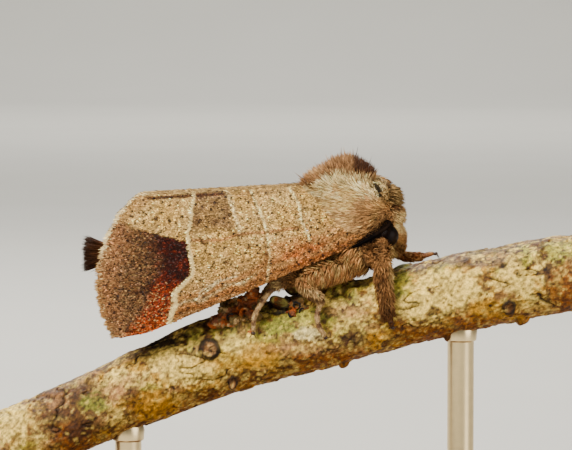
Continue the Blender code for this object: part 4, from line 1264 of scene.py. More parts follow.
class Skin:
    """The skin as a surface that fur is rooted on and combed along."""

    def __init__(self, points, faces):
        self.points = points
        self.faces = faces
        self.tree = BVHTree.FromPolygons([Vector(p) for p in points], [tuple(map(int, f)) for f in faces])
        corners = points[faces]
        crossed = np.cross(corners[:, 2] - corners[:, 0], corners[:, 3] - corners[:, 1])
        self.areas = np.linalg.norm(crossed, axis=1) / 2
        self.middles = corners.mean(axis=1)

    def roots(self, weights, count, draw):
        """Random places on the skin, as many for each area as the weights say."""
        chance = self.areas * weights
        chosen = draw.choice(len(self.faces), count, p=chance / chance.sum())
        a, b = draw.random(count)[:, None], draw.random(count)[:, None]
        corners = self.points[self.faces[chosen]]
        one = corners[:, 0] * (1 - a) + corners[:, 1] * a
        other = corners[:, 3] * (1 - a) + corners[:, 2] * a
        return one * (1 - b) + other * b

    def near(self, points):
        """The nearest places on the skin, and its normals there."""
        places = np.empty_like(points)
        normals = np.empty_like(points)
        find = self.tree.find_nearest
        for i, point in enumerate(points):
            place, normal, _, _ = find(point)
            places[i] = place
            normals[i] = normal
        return places, normals

    def comb(self, roots, lies, runs, rises, bend=0.8, sink=0.06):
        """Lines of four points that follow the skin from their roots and rise towards their tips."""
        place, normal = self.near(roots)
        lines = np.empty((len(roots), 4, 3))
        lines[:, 0] = place - normal * sink
        first = normal
        for k in range(1, 4):
            along = unit(lies - normal * np.sum(lies * normal, axis=1, keepdims=True))
            place, normal = self.near(place + along * runs[:, None] / 3)
            lines[:, k] = place + normal * (rises * (k / 3) ** bend)[:, None]
        return lines, first


def part_shares(points):
    """Whether each place belongs to the head, the legs, the abdomen and the trunk."""
    head = np.linalg.norm((points - np.array(HEAD_MIDDLE)) / (np.array(HEAD_HALF) + 0.05), axis=1) < 1.0
    head &= (points[:, 2] < 24.3) & (points[:, 0] > 5.45)
    z, width, up, down = read_rows(points[:, 0], smooth_rows(THORAX, 60), 1, 2, 3, 4)
    reach = np.where(points[:, 2] > z, up, down)
    within = np.hypot(points[:, 1] / width, (points[:, 2] - z) / reach) < 0.97
    dome = (points[:, 0] > 5.9) & (points[:, 2] > 23.9) & (points[:, 0] < 7.0)
    trunk = (within & (points[:, 0] > 0.5) & (points[:, 0] < 6.3) | dome) & ~head
    abdomen = (points[:, 0] < 0.7) & (np.abs(points[:, 1]) < 1.15) & (points[:, 2] > 20.7) & ~trunk
    legs = ~(head | trunk | abdomen)
    return {"head": head, "legs": legs, "abdomen": abdomen, "trunk": trunk}


THORAX_TUFTS = 26000
HEAD_TUFTS = 8000
LEG_TUFTS = 15000
ABDOMEN_TUFTS = 4000
BRUSH_TUFTS = 4200
PIECE_TUFTS = 12000
# The point on the shoulder that the flank's hair lies away from, and the ways of the other hair.
LIE_FOCUS = (7.3, 0.0, 24.5)
CREST_WAY = (-0.1, 0.0, 1.0)
FRONT_CREST_WAY = (0.75, 0.0, 0.45)
REAR_CREST_WAY = (-0.75, 0.0, 0.6)
COLLAR_WAY = (0.75, 0.0, -0.6)
FACE_WAY = (1.0, 0.0, -0.2)


def fur_colours(roots, lines, draw, pale=0.3, share=0.6):
    """A root colour darker than the marking and a tip that may be paler, varied by the tuft.

    The marking is read at that share of the way from root to tip.
    """
    clump = noise(roots, 0.3, 62) - 0.5
    shade = np.exp(draw.normal(0.0, 0.34, len(roots)) + 0.6 * clump)[:, None]
    colour = body_tint(between(lines[:, 0], lines[:, 3], np.reshape(share, (-1, 1)))) * shade
    tips = mix(colour, np.clip(colour * 1.9, 0, 0.9), pale * draw.random(len(roots)) * 2)
    return colour * 0.42, np.clip(tips, 0, 0.95)


def path_distance(points, path):
    """Distance of points to the nearest of a path's points."""
    best = np.full(len(points), 1e9)
    for place in path:
        best = np.minimum(best, np.linalg.norm(points - place, axis=1))
    return best


def folded_left(points):
    """Points with those of the right side folded over to the left."""
    return points * (1, 0, 1) + np.abs(points) * (0, 1, 0)


def eye_distance(points):
    """Distance of points to the middle of the eye on their side."""
    return np.linalg.norm(folded_left(points) - np.array(EYE_MIDDLE), axis=1)


def shyness(points):
    """Near 0 beside the antennae and the eyes, where hair lies short and flat, and 1 elsewhere."""
    antenna = smooth_rows(ANTENNA_LINE, 60)[:48, :3]
    near_antenna = ramp(path_distance(folded_left(points), antenna), 0.45, 0.95)
    near_eye = ramp(eye_distance(points), EYE_RADIUS + 0.05, EYE_RADIUS + 0.4)
    return near_antenna * near_eye


def straight_lines(roots, ways, lengths, droop, sink=0.08):
    """Lines of four points that grow straight out and bend towards the droop at their tips."""
    steps = np.array([0.0, 0.35, 0.7, 1.0])
    lines = roots[:, None] + ways[:, None] * (lengths[:, None] * steps - sink * (1 - steps))[..., None]
    return lines + np.array(droop) * (lengths[:, None] * steps**2)[..., None]


def in_pieces(name, order, tufts, material):
    """Several meshes of tufts, each of no more tufts than a piece may have."""
    for k, part in enumerate(np.array_split(order, math.ceil(len(order) / PIECE_TUFTS))):
        tuft_mesh(f"{name}_{k + 1}", Tufts(*(values[part] for values in tufts)), material)


def blend_lines(lines, others, share):
    """Lines of four points turned into others, by one share for each line."""
    return mix(lines, others, np.repeat(share[:, None], 4, axis=1))


def turn_share(y, z):
    """The angle around an axis as a share of a full turn."""
    return np.arctan2(y, z) / (2 * math.pi) + 0.5


def thorax_fur(skin, material):
    """The hair of the trunk: flanks, crest, collar and crown."""
    draw = np.random.default_rng(50)
    trunk = part_shares(skin.middles)["trunk"]
    top = ramp(skin.middles[:, 2], 25.2, 26.2)
    crown = (skin.middles[:, 0] > 6.1) & (skin.middles[:, 2] < 24.9)
    roots = skin.roots(trunk * (1.0 + 0.5 * top + 1.5 * crown), THORAX_TUFTS, draw)
    _, normals = skin.near(roots)
    x, y, z = roots.T
    count = len(roots)
    away = (roots - np.array(LIE_FOCUS)) * (1, 0, 1)
    lies = unit(unit(away) * 0.8 + np.array((-0.5, 0.0, 0.0)) + draw.normal(0, 0.12, roots.shape))
    low = ramp(z, 22.6, 21.9)
    lies = unit(mix(lies, np.array((-0.55, 0.0, -0.6)), low))
    shy = shyness(roots)
    runs = between(0.75, 0.6, low) * draw.uniform(0.75, 1.15, count) * between(0.6, 1, shy)
    rises = between(0.17, 0.42, low) * draw.uniform(0.5, 1.2, count) * between(0.35, 1, shy)
    lines, first = skin.comb(roots, lies, runs, rises)
    # The collar in front hangs forward over the head.
    front = ramp(collar_share(*side_view(roots)), 0.4, 0.6) * ramp(x, 5.35, 5.5)
    ways = unit(np.array(COLLAR_WAY) + draw.normal(0, 0.12, roots.shape))
    runs = draw.uniform(0.35, 0.6, count)
    rises = draw.uniform(0.25, 0.62, count)
    hanging, _ = skin.comb(roots, ways, runs, rises, bend=1.1)
    lines = blend_lines(lines, hanging, front)
    # The crest stands up, its rear part leaning back.
    high = ramp(normals[:, 2], 0.45, 0.8) * ramp(x, 0.9, 1.5) * ramp(x, 6.1, 5.5)
    rear = ramp(x, 3.4, 2.3)
    lean = ramp(x, 4.0, 5.9)
    ways = mix(np.array(CREST_WAY), np.array(REAR_CREST_WAY), rear) + normals * 0.25
    ways = unit(mix(unit(ways), np.array(FRONT_CREST_WAY), lean) + draw.normal(0, 0.12, roots.shape))
    lengths = between(1.25, 1.1, rear) * draw.uniform(0.6, 1.05, count)
    lengths *= between(1.0, 0.5, lean)
    stray = draw.random(count) < 0.015
    lengths *= np.where(stray, 1.35, 1.0)
    upright = straight_lines(roots, ways, lengths, (0.0, 0.0, 0.0))
    lines = blend_lines(lines, upright, high)
    # The crown between the antennae stands forward.
    crown = ramp(x, 6.0, 6.3) * ramp(z, 24.9, 24.6) * ramp(np.abs(y), 0.9, 0.6)
    ways = unit(np.array(FACE_WAY) * 0.8 + normals * 0.5 + draw.normal(0, 0.2, roots.shape))
    forward = straight_lines(roots, ways, draw.uniform(0.35, 0.65, count), (0.0, 0.0, -0.25))
    lines = blend_lines(lines, forward, crown)
    # A tuft with dark tips stands forward from the collar over the face.
    brow = ramp(x, 5.95, 6.15) * ramp(z, 24.7, 24.9) * ramp(z, 25.95, 25.75)
    brow = brow * ramp(np.abs(y), 1.0, 0.8)
    ways = unit(np.array((0.85, 0.0, 0.1)) + normals * 0.35 + draw.normal(0, 0.1, roots.shape))
    forward = straight_lines(roots, ways, draw.uniform(0.5, 0.85, count), (0.0, 0.0, -0.35))
    lines = blend_lines(lines, forward, brow)
    widths = draw.uniform(0.065, 0.105, count) * between(1.0, 0.7, np.maximum(high, front))
    colours, tips = fur_colours(roots, lines, draw, share=0.6 + 0.3 * high)
    colours = mix(colours, PALE * 0.5, brow * draw.random(count) * 0.8)
    tips = mix(tips, PALE, brow * 0.4)
    tips = mix(tips, DARK_BROWN, brow * (draw.random(count) < 0.35) * 0.8)
    places = np.stack([0.01 + 0.98 * turn_share(y, z - 23.7), 0.02 + x / 7.2], axis=-1)
    tufts = Tufts(lines, first, widths, colours, tips, places)
    order = np.argsort(x, kind="stable")
    in_pieces("thorax_fur", order, tufts, material)


def head_fur(skin, material):
    """The hair of the face, which hangs forward, and of the cheeks."""
    draw = np.random.default_rng(51)
    head = part_shares(skin.middles)["head"].astype(float)
    head *= eye_distance(skin.middles) > EYE_RADIUS - 0.04
    roots = skin.roots(head, HEAD_TUFTS, draw)
    _, normals = skin.near(roots)
    count = len(roots)
    shy = shyness(roots)
    ways = unit(np.array(FACE_WAY) + normals * 0.55 + draw.normal(0, 0.18, roots.shape))
    lengths = draw.uniform(0.3, 0.6, count) * between(0.5, 1, shy)
    lines = straight_lines(roots, ways, lengths, (0.0, 0.0, -0.3))
    lies = unit(np.array((0.5, 0.0, -0.6)) + draw.normal(0, 0.15, roots.shape))
    flat, first = skin.comb(roots, lies, lengths, lengths * 0.4)
    side = ramp(np.abs(normals[:, 1]), 0.5, 0.9)
    lines = blend_lines(lines, flat, side)
    widths = draw.uniform(0.05, 0.08, count)
    colours, tips = fur_colours(roots, lines, draw, 0.5)
    turned = unit(roots - np.array(HEAD_MIDDLE))
    around = np.arctan2(turned[:, 1], turned[:, 0]) / (2 * math.pi) * 0.98
    places = np.stack([0.5 + around, 0.5 + 0.48 * turned[:, 2]], axis=-1)
    tufts = Tufts(lines, first, widths, colours, tips, places)
    in_pieces("head_fur", np.arange(count), tufts, material)


def leg_fur(skin, material):
    """The hair of the legs: long down to the knee, short scales below it."""
    draw = np.random.default_rng(52)
    lists = leg_list()
    steps = 50
    paths = [smooth_rows(stations, steps)[:, :3] for _, _, stations in lists]
    frames = [path_frames(path) for path in paths]
    middles = np.vstack(paths)
    ahead, side, third = (np.vstack([frame[k] for frame in frames]) for k in range(3))
    owner = np.repeat(np.arange(len(paths)), steps)
    share = np.tile(np.linspace(0, 1, steps), len(paths))
    furry = np.array([FURRY_SHARE[kind] for _, kind, _ in lists])[owner]

    def nearest(points):
        """The nearest step of any leg's path to each point."""
        best = np.full(len(points), 1e9)
        index = np.zeros(len(points), int)
        for k, place in enumerate(middles):
            distance = np.linalg.norm(points - place, axis=1)
            closer = distance < best
            best[closer] = distance[closer]
            index[closer] = k
        return index

    def bushiness(index):
        """1 where the leg carries long hair and 0 where it is short."""
        return ramp(share[index], furry[index] + 0.1, furry[index] - 0.08)

    legs = part_shares(skin.middles)["legs"]
    bushy = bushiness(nearest(skin.middles))
    roots = skin.roots(legs * (0.7 + 0.5 * bushy), LEG_TUFTS, draw)
    count = len(roots)
    x, y, z = roots.T
    index = nearest(roots)
    bushy = bushiness(index)
    middle_leg = np.array([kind == "midleg" for _, kind, _ in lists])[owner][index] * bushy
    knee = middle_leg * ramp(share[index], 0.2, 0.32)
    hang = np.array((0.15, 0.0, -0.8)) * middle_leg[:, None]
    lies = unit(ahead[index] * (1 - 0.75 * knee)[:, None] + hang + draw.normal(0, 0.2, roots.shape))
    # Hair on top of the near foreleg grows up beside the eye.
    top = ramp(z, 21.9, 22.3) * ramp(x, 5.0, 5.3) * ramp(-y, 1.7, 2.0)
    lies = unit(mix(lies, np.array((0.1, 0.0, 1.0)), top * 0.8))
    runs = between(0.16, 0.62, bushy) * draw.uniform(0.7, 1.1, count)
    rises = between(0.04, 0.36, bushy) * draw.uniform(0.5, 1.15, count)
    rises = rises * (1 + 0.5 * middle_leg) + 0.15 * top
    far = ramp(y, 0.3, 0.8) * ramp(x, 6.0, 6.6)
    runs *= between(1.0, 0.5, far) * between(1.0, 0.6, knee)
    rises *= between(1.0, 0.45, far) * between(1.0, 0.5, knee)
    lines, first = skin.comb(roots, lies, runs, rises, sink=0.03)
    widths = between(0.05, 0.08, bushy) * draw.uniform(0.8, 1.2, count)
    colours, tips = fur_colours(roots, lines, draw, 0.5)
    out = roots - middles[index]
    angle = turn_share(np.sum(out * side[index], axis=1), np.sum(out * third[index], axis=1))
    places = np.stack([(owner[index] + 0.03 + 0.94 * angle) / 6, 0.02 + 0.96 * share[index]], axis=-1)
    tufts = Tufts(lines, first, widths, colours, tips, places)
    in_pieces("leg_fur", np.arange(count), tufts, material)


def abdomen_fur(skin, material):
    """The short hair of the abdomen, combed back."""
    draw = np.random.default_rng(53)
    rear = part_shares(skin.middles)["abdomen"].astype(float)
    roots = skin.roots(rear, ABDOMEN_TUFTS, draw)
    lies = unit(np.array((-1.0, 0.0, 0.0)) + draw.normal(0, 0.12, roots.shape))
    runs = draw.uniform(0.4, 0.6, len(roots))
    rises = draw.uniform(0.05, 0.15, len(roots))
    lines, first = skin.comb(roots, lies, runs, rises)
    widths = draw.uniform(0.07, 0.1, len(roots))
    colours, tips = fur_colours(roots, lines, draw)
    angle = turn_share(roots[:, 1], roots[:, 2] - 22.5)
    places = np.stack([0.01 + 0.98 * angle, 0.02 + (roots[:, 0] + 11.5) / 13], axis=-1)
    tufts = Tufts(lines, first, widths, colours, tips, places)
    tuft_mesh("abdomen_fur", tufts, material)


BRUSH_ROOT = (-10.6, 0.0, 21.8)
BRUSH_END = -12.2


def tail_brush(material):
    """The dark brush at the end of the abdomen, flared up and down to a ragged edge."""
    draw = np.random.default_rng(54)
    spread = draw.uniform(-1, 1, (BRUSH_TUFTS, 2))
    spread = spread[np.hypot(*spread.T) < 1]
    count = len(spread)
    start = np.stack([draw.uniform(-0.15, 0.15, count), spread[:, 0] * 0.45, spread[:, 1] * 0.6], axis=-1)
    start = start + np.array(BRUSH_ROOT)
    clump = np.round(spread * 3.5) / 3.5 - spread
    pitch = np.radians(spread[:, 1] * 12 + clump[:, 1] * 45 + draw.normal(0, 3, count))
    yaw = np.radians(spread[:, 0] * 14 + clump[:, 0] * 45 + draw.normal(0, 3, count))
    way = np.stack([-np.cos(pitch) * np.cos(yaw), np.sin(yaw), np.sin(pitch)], axis=-1)
    uneven = draw.uniform(0.78, 1.03, count) + 0.3 * (noise(start, 0.22, 56) - 0.5)
    length = (start[:, 0] - BRUSH_END) * uneven
    steps = np.linspace(0, 1, 4)
    lines = start[:, None] + way[:, None] * (length[:, None] * steps)[..., None]
    lines[:, :, 2] += 0.14 * spread[:, 1:2] * steps**2
    outward = np.where(spread[:, 0] >= 0, 1.0, -1.0)
    ways_up = unit(np.stack([np.zeros(count), outward, 0.3 * spread[:, 1]], axis=-1))
    shade = np.exp(draw.normal(0.0, 0.35, count))[:, None]
    colour = BRUSH_BROWN * shade
    tips = mix(colour, BLACK_BROWN, 0.9)
    places = 0.5 + spread * 0.45
    widths = draw.uniform(0.04, 0.07, count)
    tufts = Tufts(lines, ways_up, widths, colour, tips, places)
    tuft_mesh("tail_brush", tufts, material, ["abdomen_tuft"])


# Eyes and antennae.


def build_eyes():
    """Compound eyes, their facets shallow bumps on a dark dome."""
    material = tinted("eye", 0.38, 0.5, 0.12, 0.012, 0.045, Specular_IOR_Level=0.1)
    for side, word in SIDES:
        middle = (EYE_MIDDLE[0], side * EYE_MIDDLE[1], EYE_MIDDLE[2])
        points, quads, triangles = ball(middle, (EYE_RADIUS - 0.02,) * 3, 96, 64)
        mesh = make_mesh(f"compound_eye_{word}", points, [quads, triangles])
        # Painted sheen: brown patches on the eyes' black.
        tone = rough(points, 0.5, 2, 71)
        set_tint(mesh, mix(BLACK * 0.5, EYE_SHEEN_BROWN, ramp(tone, 0.45, 0.7) * 0.5))
        add_piece(mesh, material, [f"eye_{word}"])


TOOTH_PAIRS = 44


def build_antennae():
    """Comb-like antennae: a shaft with a row of teeth on either side, swept towards the tip."""
    material = tinted("antenna", 0.85, 0.4, 0.05, 0.01, 0.05, Specular_IOR_Level=0.03)
    draw = np.random.default_rng(55)
    for side, word in SIDES:
        rows = smooth_rows(mirrored(ANTENNA_LINE, side), 140)
        parts = [tube(rows[:, :3], 0.05 + 0.2 * rows[:, 3], 8)]
        ahead, _, _ = path_frames(rows[:, :3])
        for i in np.linspace(14, 134, TOOTH_PAIRS).astype(int):
            out = np.array((0.15, side, 0.1))
            out = unit(out - ahead[i] * (out @ ahead[i]))
            across = np.cross(ahead[i], out)
            for turn in (-1, 1):
                reach = rows[i, 3] * draw.uniform(0.85, 1.3)
                way = unit(across * turn + out * 0.25)
                steps = np.linspace(0, 1, 6)[:, None]
                line = rows[i, :3] + way * reach * steps + ahead[i] * 0.5 * reach * steps**2
                line = line - out * 0.3 * reach * steps**2 + draw.normal(0, 0.008, (6, 3)) * steps
                parts.append(tube(line, np.linspace(0.045, 0.02, 6), 5))
        points, quads, triangles = joined(parts)
        mesh = make_mesh(f"antenna_comb_{word}", points, [quads, triangles])
        shade = 0.5 + 1.0 * noise(points, 0.15, 70)
        # Painted glint: the teeth turn browner towards their tips.
        _, quarter = line_distance(points[:, 0], points[:, 2], rows[:, (0, 2)])
        far = np.linalg.norm(points - rows[np.round(quarter * 139).astype(int), :3], axis=1)
        brown = ramp(far, 0.12, 0.3) * noise(points, 0.1, 107)
        set_tint(mesh, mix(BLACK * 0.6, ANTENNA_GLINT_BROWN, brown * 0.35) * shade[:, None])
        add_piece(mesh, material, [f"antenna_{word}"])


CLAW_LENGTH = 0.42
CLAW_RADIUS = 0.05
CLAW_SINK = 0.03


def twig_at(x):
    """The height of the twig's middle line and its radius, at a place along it."""
    return read_rows(x, smooth_rows(TWIG_LINE, 80), 1, 2)


def bark_gap(point):
    """How far a point stands off the bark, and the way to the bark from there."""
    z, radius = twig_at(point[0])
    out = point * (0, 1, 1) - (0, 0, z)
    distance = np.linalg.norm(out)
    surface = point + out / distance * (radius - distance)
    return distance - radius - bark_relief(surface[None])[0], -out / distance


def build_claws():
    """A pair of curved claws and a pad at the end of each foot, their points on the bark."""
    parts = []
    steps = np.linspace(0, 1, 8)[:, None]
    for _, _, stations in leg_list():
        rows = smooth_rows(stations, 40)[:, :3]
        foot = rows[-1]
        ahead = unit(rows[-1] - rows[-6])
        _, inward = bark_gap(foot)
        across = unit(np.cross(ahead, inward))
        parts.append(ball(foot + ahead * 0.12 + inward * 0.06, (0.14, 0.12, 0.11), 14, 10))
        for turn in (-1, 1):
            over = foot + ahead * 0.1 + (ahead * 0.6 + across * turn * 0.5) * CLAW_LENGTH
            gap, down = bark_gap(over)
            line = between(foot + ahead * 0.1, over, steps) + down * (gap + CLAW_SINK) * steps**1.8
            parts.append(tube(line, CLAW_RADIUS * np.linspace(1.0, 0.25, 8), 8))
    points, quads, triangles = joined(parts)
    mesh = make_mesh("foot_claws", points, [quads, triangles])
    set_tint(mesh, mix(CLAW_BROWN, BLACK_BROWN, rough(points, 0.3, 2, 72)))
    claw = tinted("claw", 0.3, 0.3, 0.05, 0.004, 0.05)
    add_piece(mesh, claw)


# The twig.


def twig_place(x, angle, lift=0.0):
    """A point on the twig: x along it, the angle up from its right side, and a lift off its bark."""
    z, radius = twig_at(x)
    out = np.stack([np.zeros_like(z), -np.cos(angle), np.sin(angle)], axis=-1)
    return np.stack([np.asarray(x) + 0 * z, 0 * z, z], axis=-1) + out * (radius + lift)[..., None], out


# Knots: x, angle up from the right side, size and height.
KNOTS = (
    (-4.6, 17, 0.55, 0.22),
    (-3.2, -45, 0.3, 0.18),
    (-3.5, 66, 0.8, 0.45),
    (-2.6, 74, 0.75, 0.6),
    (-3.0, 48, 0.5, 0.3),
    (3.5, -85, 0.35, 0.3),
    (9.8, -80, 0.35, 0.35),
    (14.2, -75, 0.45, 0.35),
    (-11.5, 60, 0.6, 0.25),
    (7.0, 110, 0.7, 0.3),
    (3.1, 82, 1.1, 0.34),
    (3.95, 52, 0.42, 0.26),
)


# Round warts of the bark with a raised ring: the photo's pixel and the radius in pixels.
RINGS = (((209.5, 349), 9.5), ((232.7, 381.5), 4.5), ((509, 307), 6), ((279, 302), 10))


def crack_depth(points):
    """1 along the bark's fine, winding cracks and 0 elsewhere."""
    lines = rough(points * (0.45, 1, 1), 1.3, 3, 82)
    there = ramp(rough(points, 2.6, 2, 83), 0.5, 0.62)
    return ramp(np.abs(lines - 0.5), 0.02, 0.0) * there


def bark_relief(points):
    """How far the bark stands out at places on it."""
    stretched = points * (0.6, 1, 1)
    relief = 0.2 * (rough(stretched, 1.5, 4, 80) - 0.5) + 0.15 * (rough(points, 0.4, 3, 81) - 0.5)
    plates = ramp(rough(points * (0.7, 1, 1), 0.8, 3, 84), 0.5, 0.54)
    plates *= ramp(rough(points, 3.0, 2, 85), 0.42, 0.5)
    relief += 0.07 * plates - 0.12 * crack_depth(points) - 0.1 * spots(points, 0.7, 0.12, 86)
    for x, angle, size, height in KNOTS:
        place, _ = twig_place(np.array([x]), np.radians(np.array([float(angle)])))
        distance = np.linalg.norm(points - place[0], axis=-1) / size
        relief += height * np.clip(1 - distance**2, 0, 1) ** 0.6
    for (px, py), radius in RINGS:
        (x, z), = pixels((px, py))
        distance = np.hypot(*(side_view(points) - np.array([x, z])[:, None])) / (radius * PIXEL)
        ring = 0.1 * np.exp(-(((distance - 0.85) / 0.16) ** 2)) - 0.1 * ramp(distance, 0.7, 0.35)
        relief += np.where(points[:, 1] < 0, ring, 0)
    return relief


# Patches of the bark: the photo's pixel, its reach along and up in pixels, colour and strength.
BARK_PATCHES = (
    ((190, 372), (28, 18), BARK_CREAM, 0.9),
    ((163, 360), (20, 12), BARK_CREAM, 0.8),
    ((10, 422), (24, 26), BARK_CREAM, 0.75),
    ((72, 415), (42, 36), BARK_BROWN, 0.9),
    ((58, 402), (13, 9), BARK_PINK, 0.6),
    ((100, 420), (8, 8), BARK_PINK, 0.5),
    ((74, 438), (24, 18), BARK_RUST, 0.75),
    ((80, 430), (14, 12), DARK_BROWN, 0.85),
    ((88, 400), (10, 5), DARK_BROWN, 0.6),
    ((60, 410), (9, 5), DARK_BROWN, 0.6),
    ((116, 395), (10, 9), BARK_PINK, 0.95),
    ((92, 402), (15, 10), BARK_GREEN, 0.7),
    ((150, 405), (28, 16), BARK_YELLOW, 0.75),
    ((132, 402), (7, 24), BARK_BROWN, 0.6),
    ((155, 342), (22, 8), BLACK_BROWN, 0.95),
    ((225, 322), (26, 12), DARK_BROWN, 0.5),
    ((262, 320), (26, 10), BARK_BROWN, 0.55),
    ((238, 345), (28, 12), BARK_CREAM, 0.7),
    ((228, 362), (36, 10), BARK_YELLOW, 0.5),
    ((262, 354), (26, 12), BARK_YELLOW, 0.7),
    ((308, 334), (15, 8), LICHEN_CREAM, 0.9),
    ((280, 326), (20, 9), BARK_GREEN, 0.75),
    ((300, 350), (42, 8), BARK_PINK, 0.6),
    ((318, 357), (42, 6), BARK_RUST, 0.8),
    ((310, 316), (34, 9), BARK_GREEN, 0.7),
    ((345, 312), (24, 7), BARK_PINK, 0.7),
    ((332, 303), (15, 5), BARK_CREAM, 0.8),
    ((352, 338), (16, 9), DARK_BROWN, 0.85),
    ((376, 338), (14, 9), BARK_YELLOW, 0.8),
    ((398, 326), (10, 8), BARK_RUST, 0.8),
    ((404, 288), (13, 24), BARK_GREEN, 0.7),
    ((412, 308), (22, 13), BARK_CREAM, 0.95),
    ((425, 335), (36, 10), BARK_RUST, 0.8),
    ((450, 288), (42, 22), BARK_CREAM, 0.9),
    ((480, 262), (34, 5), BARK_GREY, 0.85),
    ((488, 289), (8, 4), BARK_BROWN, 0.9),
    ((434, 293), (4, 5), DARK_BROWN, 0.9),
    ((514, 280), (22, 16), BARK_CREAM, 0.75),
    ((494, 312), (28, 10), BARK_YELLOW, 0.6),
    ((478, 322), (34, 7), BARK_RUST, 0.7),
    ((548, 274), (7, 16), BARK_BROWN, 0.9),
    ((564, 290), (18, 30), BARK_RUST, 0.8),
    ((251, 331), (1.8, 1.8), RED, 1.0),
    ((289, 309), (1.8, 1.8), RED, 0.9),
)
# Dark lines in the bark.
BARK_LINES = (
    pixels((253, 377), (268, 372), (280, 373), (292, 368)),
    pixels((318, 322), (332, 316), (350, 309), (362, 303)),
    pixels((280, 362), (310, 356), (335, 347), (345, 340)),
    pixels((462, 266), (474, 261), (486, 260), (493, 264)),
    pixels((538, 262), (546, 272), (550, 284), (548, 298)),
    pixels((48, 398), (66, 404), (74, 416), (92, 420), (104, 410)),
    pixels((62, 438), (78, 424), (96, 418)),
    pixels((400, 336), (388, 342), (372, 352)),
)


def bark_tint(points, relief):
    """The bark's colour at places on it: lichen, patches, warts, lines and specks."""
    x, z = side_view(points)
    patch = rough(points, 1.1, 3, 91)
    fine = rough(points, 0.32, 3, 92)
    grain = rough(points, 0.14, 2, 94)
    middle, _ = twig_at(points[:, 0])
    height = (points[:, 2] - middle) / TWIG_RADIUS
    colour = mix(BARK_CREAM, BARK_YELLOW, ramp(patch + 0.3 * (fine - 0.5), 0.42, 0.62) * 0.8)
    mossy = ramp(rough(points, 1.7, 4, 90), 0.47, 0.6) * 0.75 * ramp(height, -0.6, 0.1)
    colour = mix(colour, BARK_GREEN, mossy)
    colour = mix(colour, BARK_PINK, ramp(rough(points, 1.3, 4, 97), 0.53, 0.62) * 0.7)
    colour = mix(colour, BARK_BROWN, ramp(rough(points, 0.8, 4, 89), 0.58, 0.66) * 0.75)
    colour = mix(colour, BARK_RUST, ramp(height + 0.8 * (patch - 0.5), -0.35, -0.95) * 0.85)
    colour = mix(colour, BARK_GREY, ramp(height + 0.3 * (patch - 0.5), 0.8, 0.97) * 0.8)
    rugged = between(0.35, 1.0, ramp(rough(points, 4.0, 2, 88), 0.38, 0.55))
    colour = mix(colour, BARK_CREAM, ramp(fine, 0.42, 0.3) * 0.7)
    colour = mix(colour, BARK_BROWN, ramp(fine, 0.56, 0.68) * 0.8 * rugged)
    # Painted shade: darker brown in the bark's low spots.
    colour = mix(colour, BARK_BROWN, ramp(relief, -0.01, -0.1) * 0.7 * rugged)
    crumb = rough(points, 0.24, 2, 108)
    crumbly = ramp(rough(points, 2.4, 2, 114), 0.42, 0.6)
    colour = mix(colour, BARK_BROWN, ramp(crumb, 0.56, 0.66) * 0.8 * crumbly)
    colour = mix(colour, BARK_CREAM, ramp(crumb, 0.4, 0.3) * 0.4)
    warp_x = x + 0.7 * (patch - 0.5) + 0.5 * (fine - 0.5)
    warp_z = z + 0.6 * (rough(points, 0.9, 2, 98) - 0.5) + 0.4 * (grain - 0.5)
    for (px, py), (along, up), shade, strength in BARK_PATCHES:
        (place_x, place_z), = pixels((px, py))
        distance = np.hypot((warp_x - place_x) / (along * PIXEL), (warp_z - place_z) / (up * PIXEL))
        colour = mix(colour, shade, ramp(distance + 1.1 * (fine - 0.5), 1.1, 0.7) * strength)
    for line in BARK_LINES:
        distance, _ = line_distance(warp_x, warp_z, line)
        colour = mix(colour, DARK_BROWN, ramp(distance + 0.15 * (fine - 0.4), 0.12, 0.03) * 0.9)
    for (px, py), radius in RINGS:
        (ring_x, ring_z), = pixels((px, py))
        distance = np.hypot(x - ring_x, z - ring_z) / (radius * PIXEL) + 0.5 * (fine - 0.5)
        here = points[:, 1] < 0
        wart = mix(BARK_PINK * 0.75, BARK_BROWN, ramp(fine, 0.4, 0.55) * 0.85)
        colour = mix(colour, wart, ramp(distance, 0.9, 0.75) * 0.95 * here)
        edge = ramp(np.abs(distance - 0.95), 0.4, 0.12) * ramp(grain, 0.05, 0.3)
        colour = mix(colour, BLACK_BROWN, edge * 0.95 * here)
    colour = mix(colour, BARK_CREAM, ramp(fine, 0.4, 0.3) * 0.35)
    colour = mix(colour, BARK_BROWN, ramp(fine, 0.6, 0.68) * 0.4)
    colour = mix(colour, BLACK_BROWN, crack_depth(points) * 0.8)
    colour = colour * (0.35 + 1.3 * ramp(grain, 0.15, 0.85))[:, None]
    speck = 2.2 * np.maximum(spots(points, 0.42, 0.09, 93), spots(points, 0.9, 0.16, 99))
    crowd = ramp(rough(points, 1.8, 2, 100), 0.35, 0.6)
    return mix(colour, BLACK_BROWN, np.clip(speck, 0, 1) * (0.5 + 0.45 * crowd))


END_RINGS = 40


def end_grain(points, pith):
    """Pale wood with growth rings, rays and a thin dark rind."""
    out = points - pith
    radius = np.hypot(out[:, 1], out[:, 2])
    rings = 0.5 + 0.5 * np.sin(radius * 16 + 2.5 * noise(points, 1.2, 105))
    wood = mix(END_PALE, END_DARK, rings * 0.7)
    rays = noise(np.stack([np.arctan2(out[:, 2], out[:, 1]) * 9, radius * 0.4], axis=-1), 1.0, 106)
    wood = wood * (0.8 + 0.35 * rays)[:, None]
    wood = mix(wood, PITH_BROWN, ramp(radius, 0.22, 0.1) * 0.8)
    return mix(wood, BARK_BROWN, ramp(radius + 0.1 * rays, 2.05, 2.2))


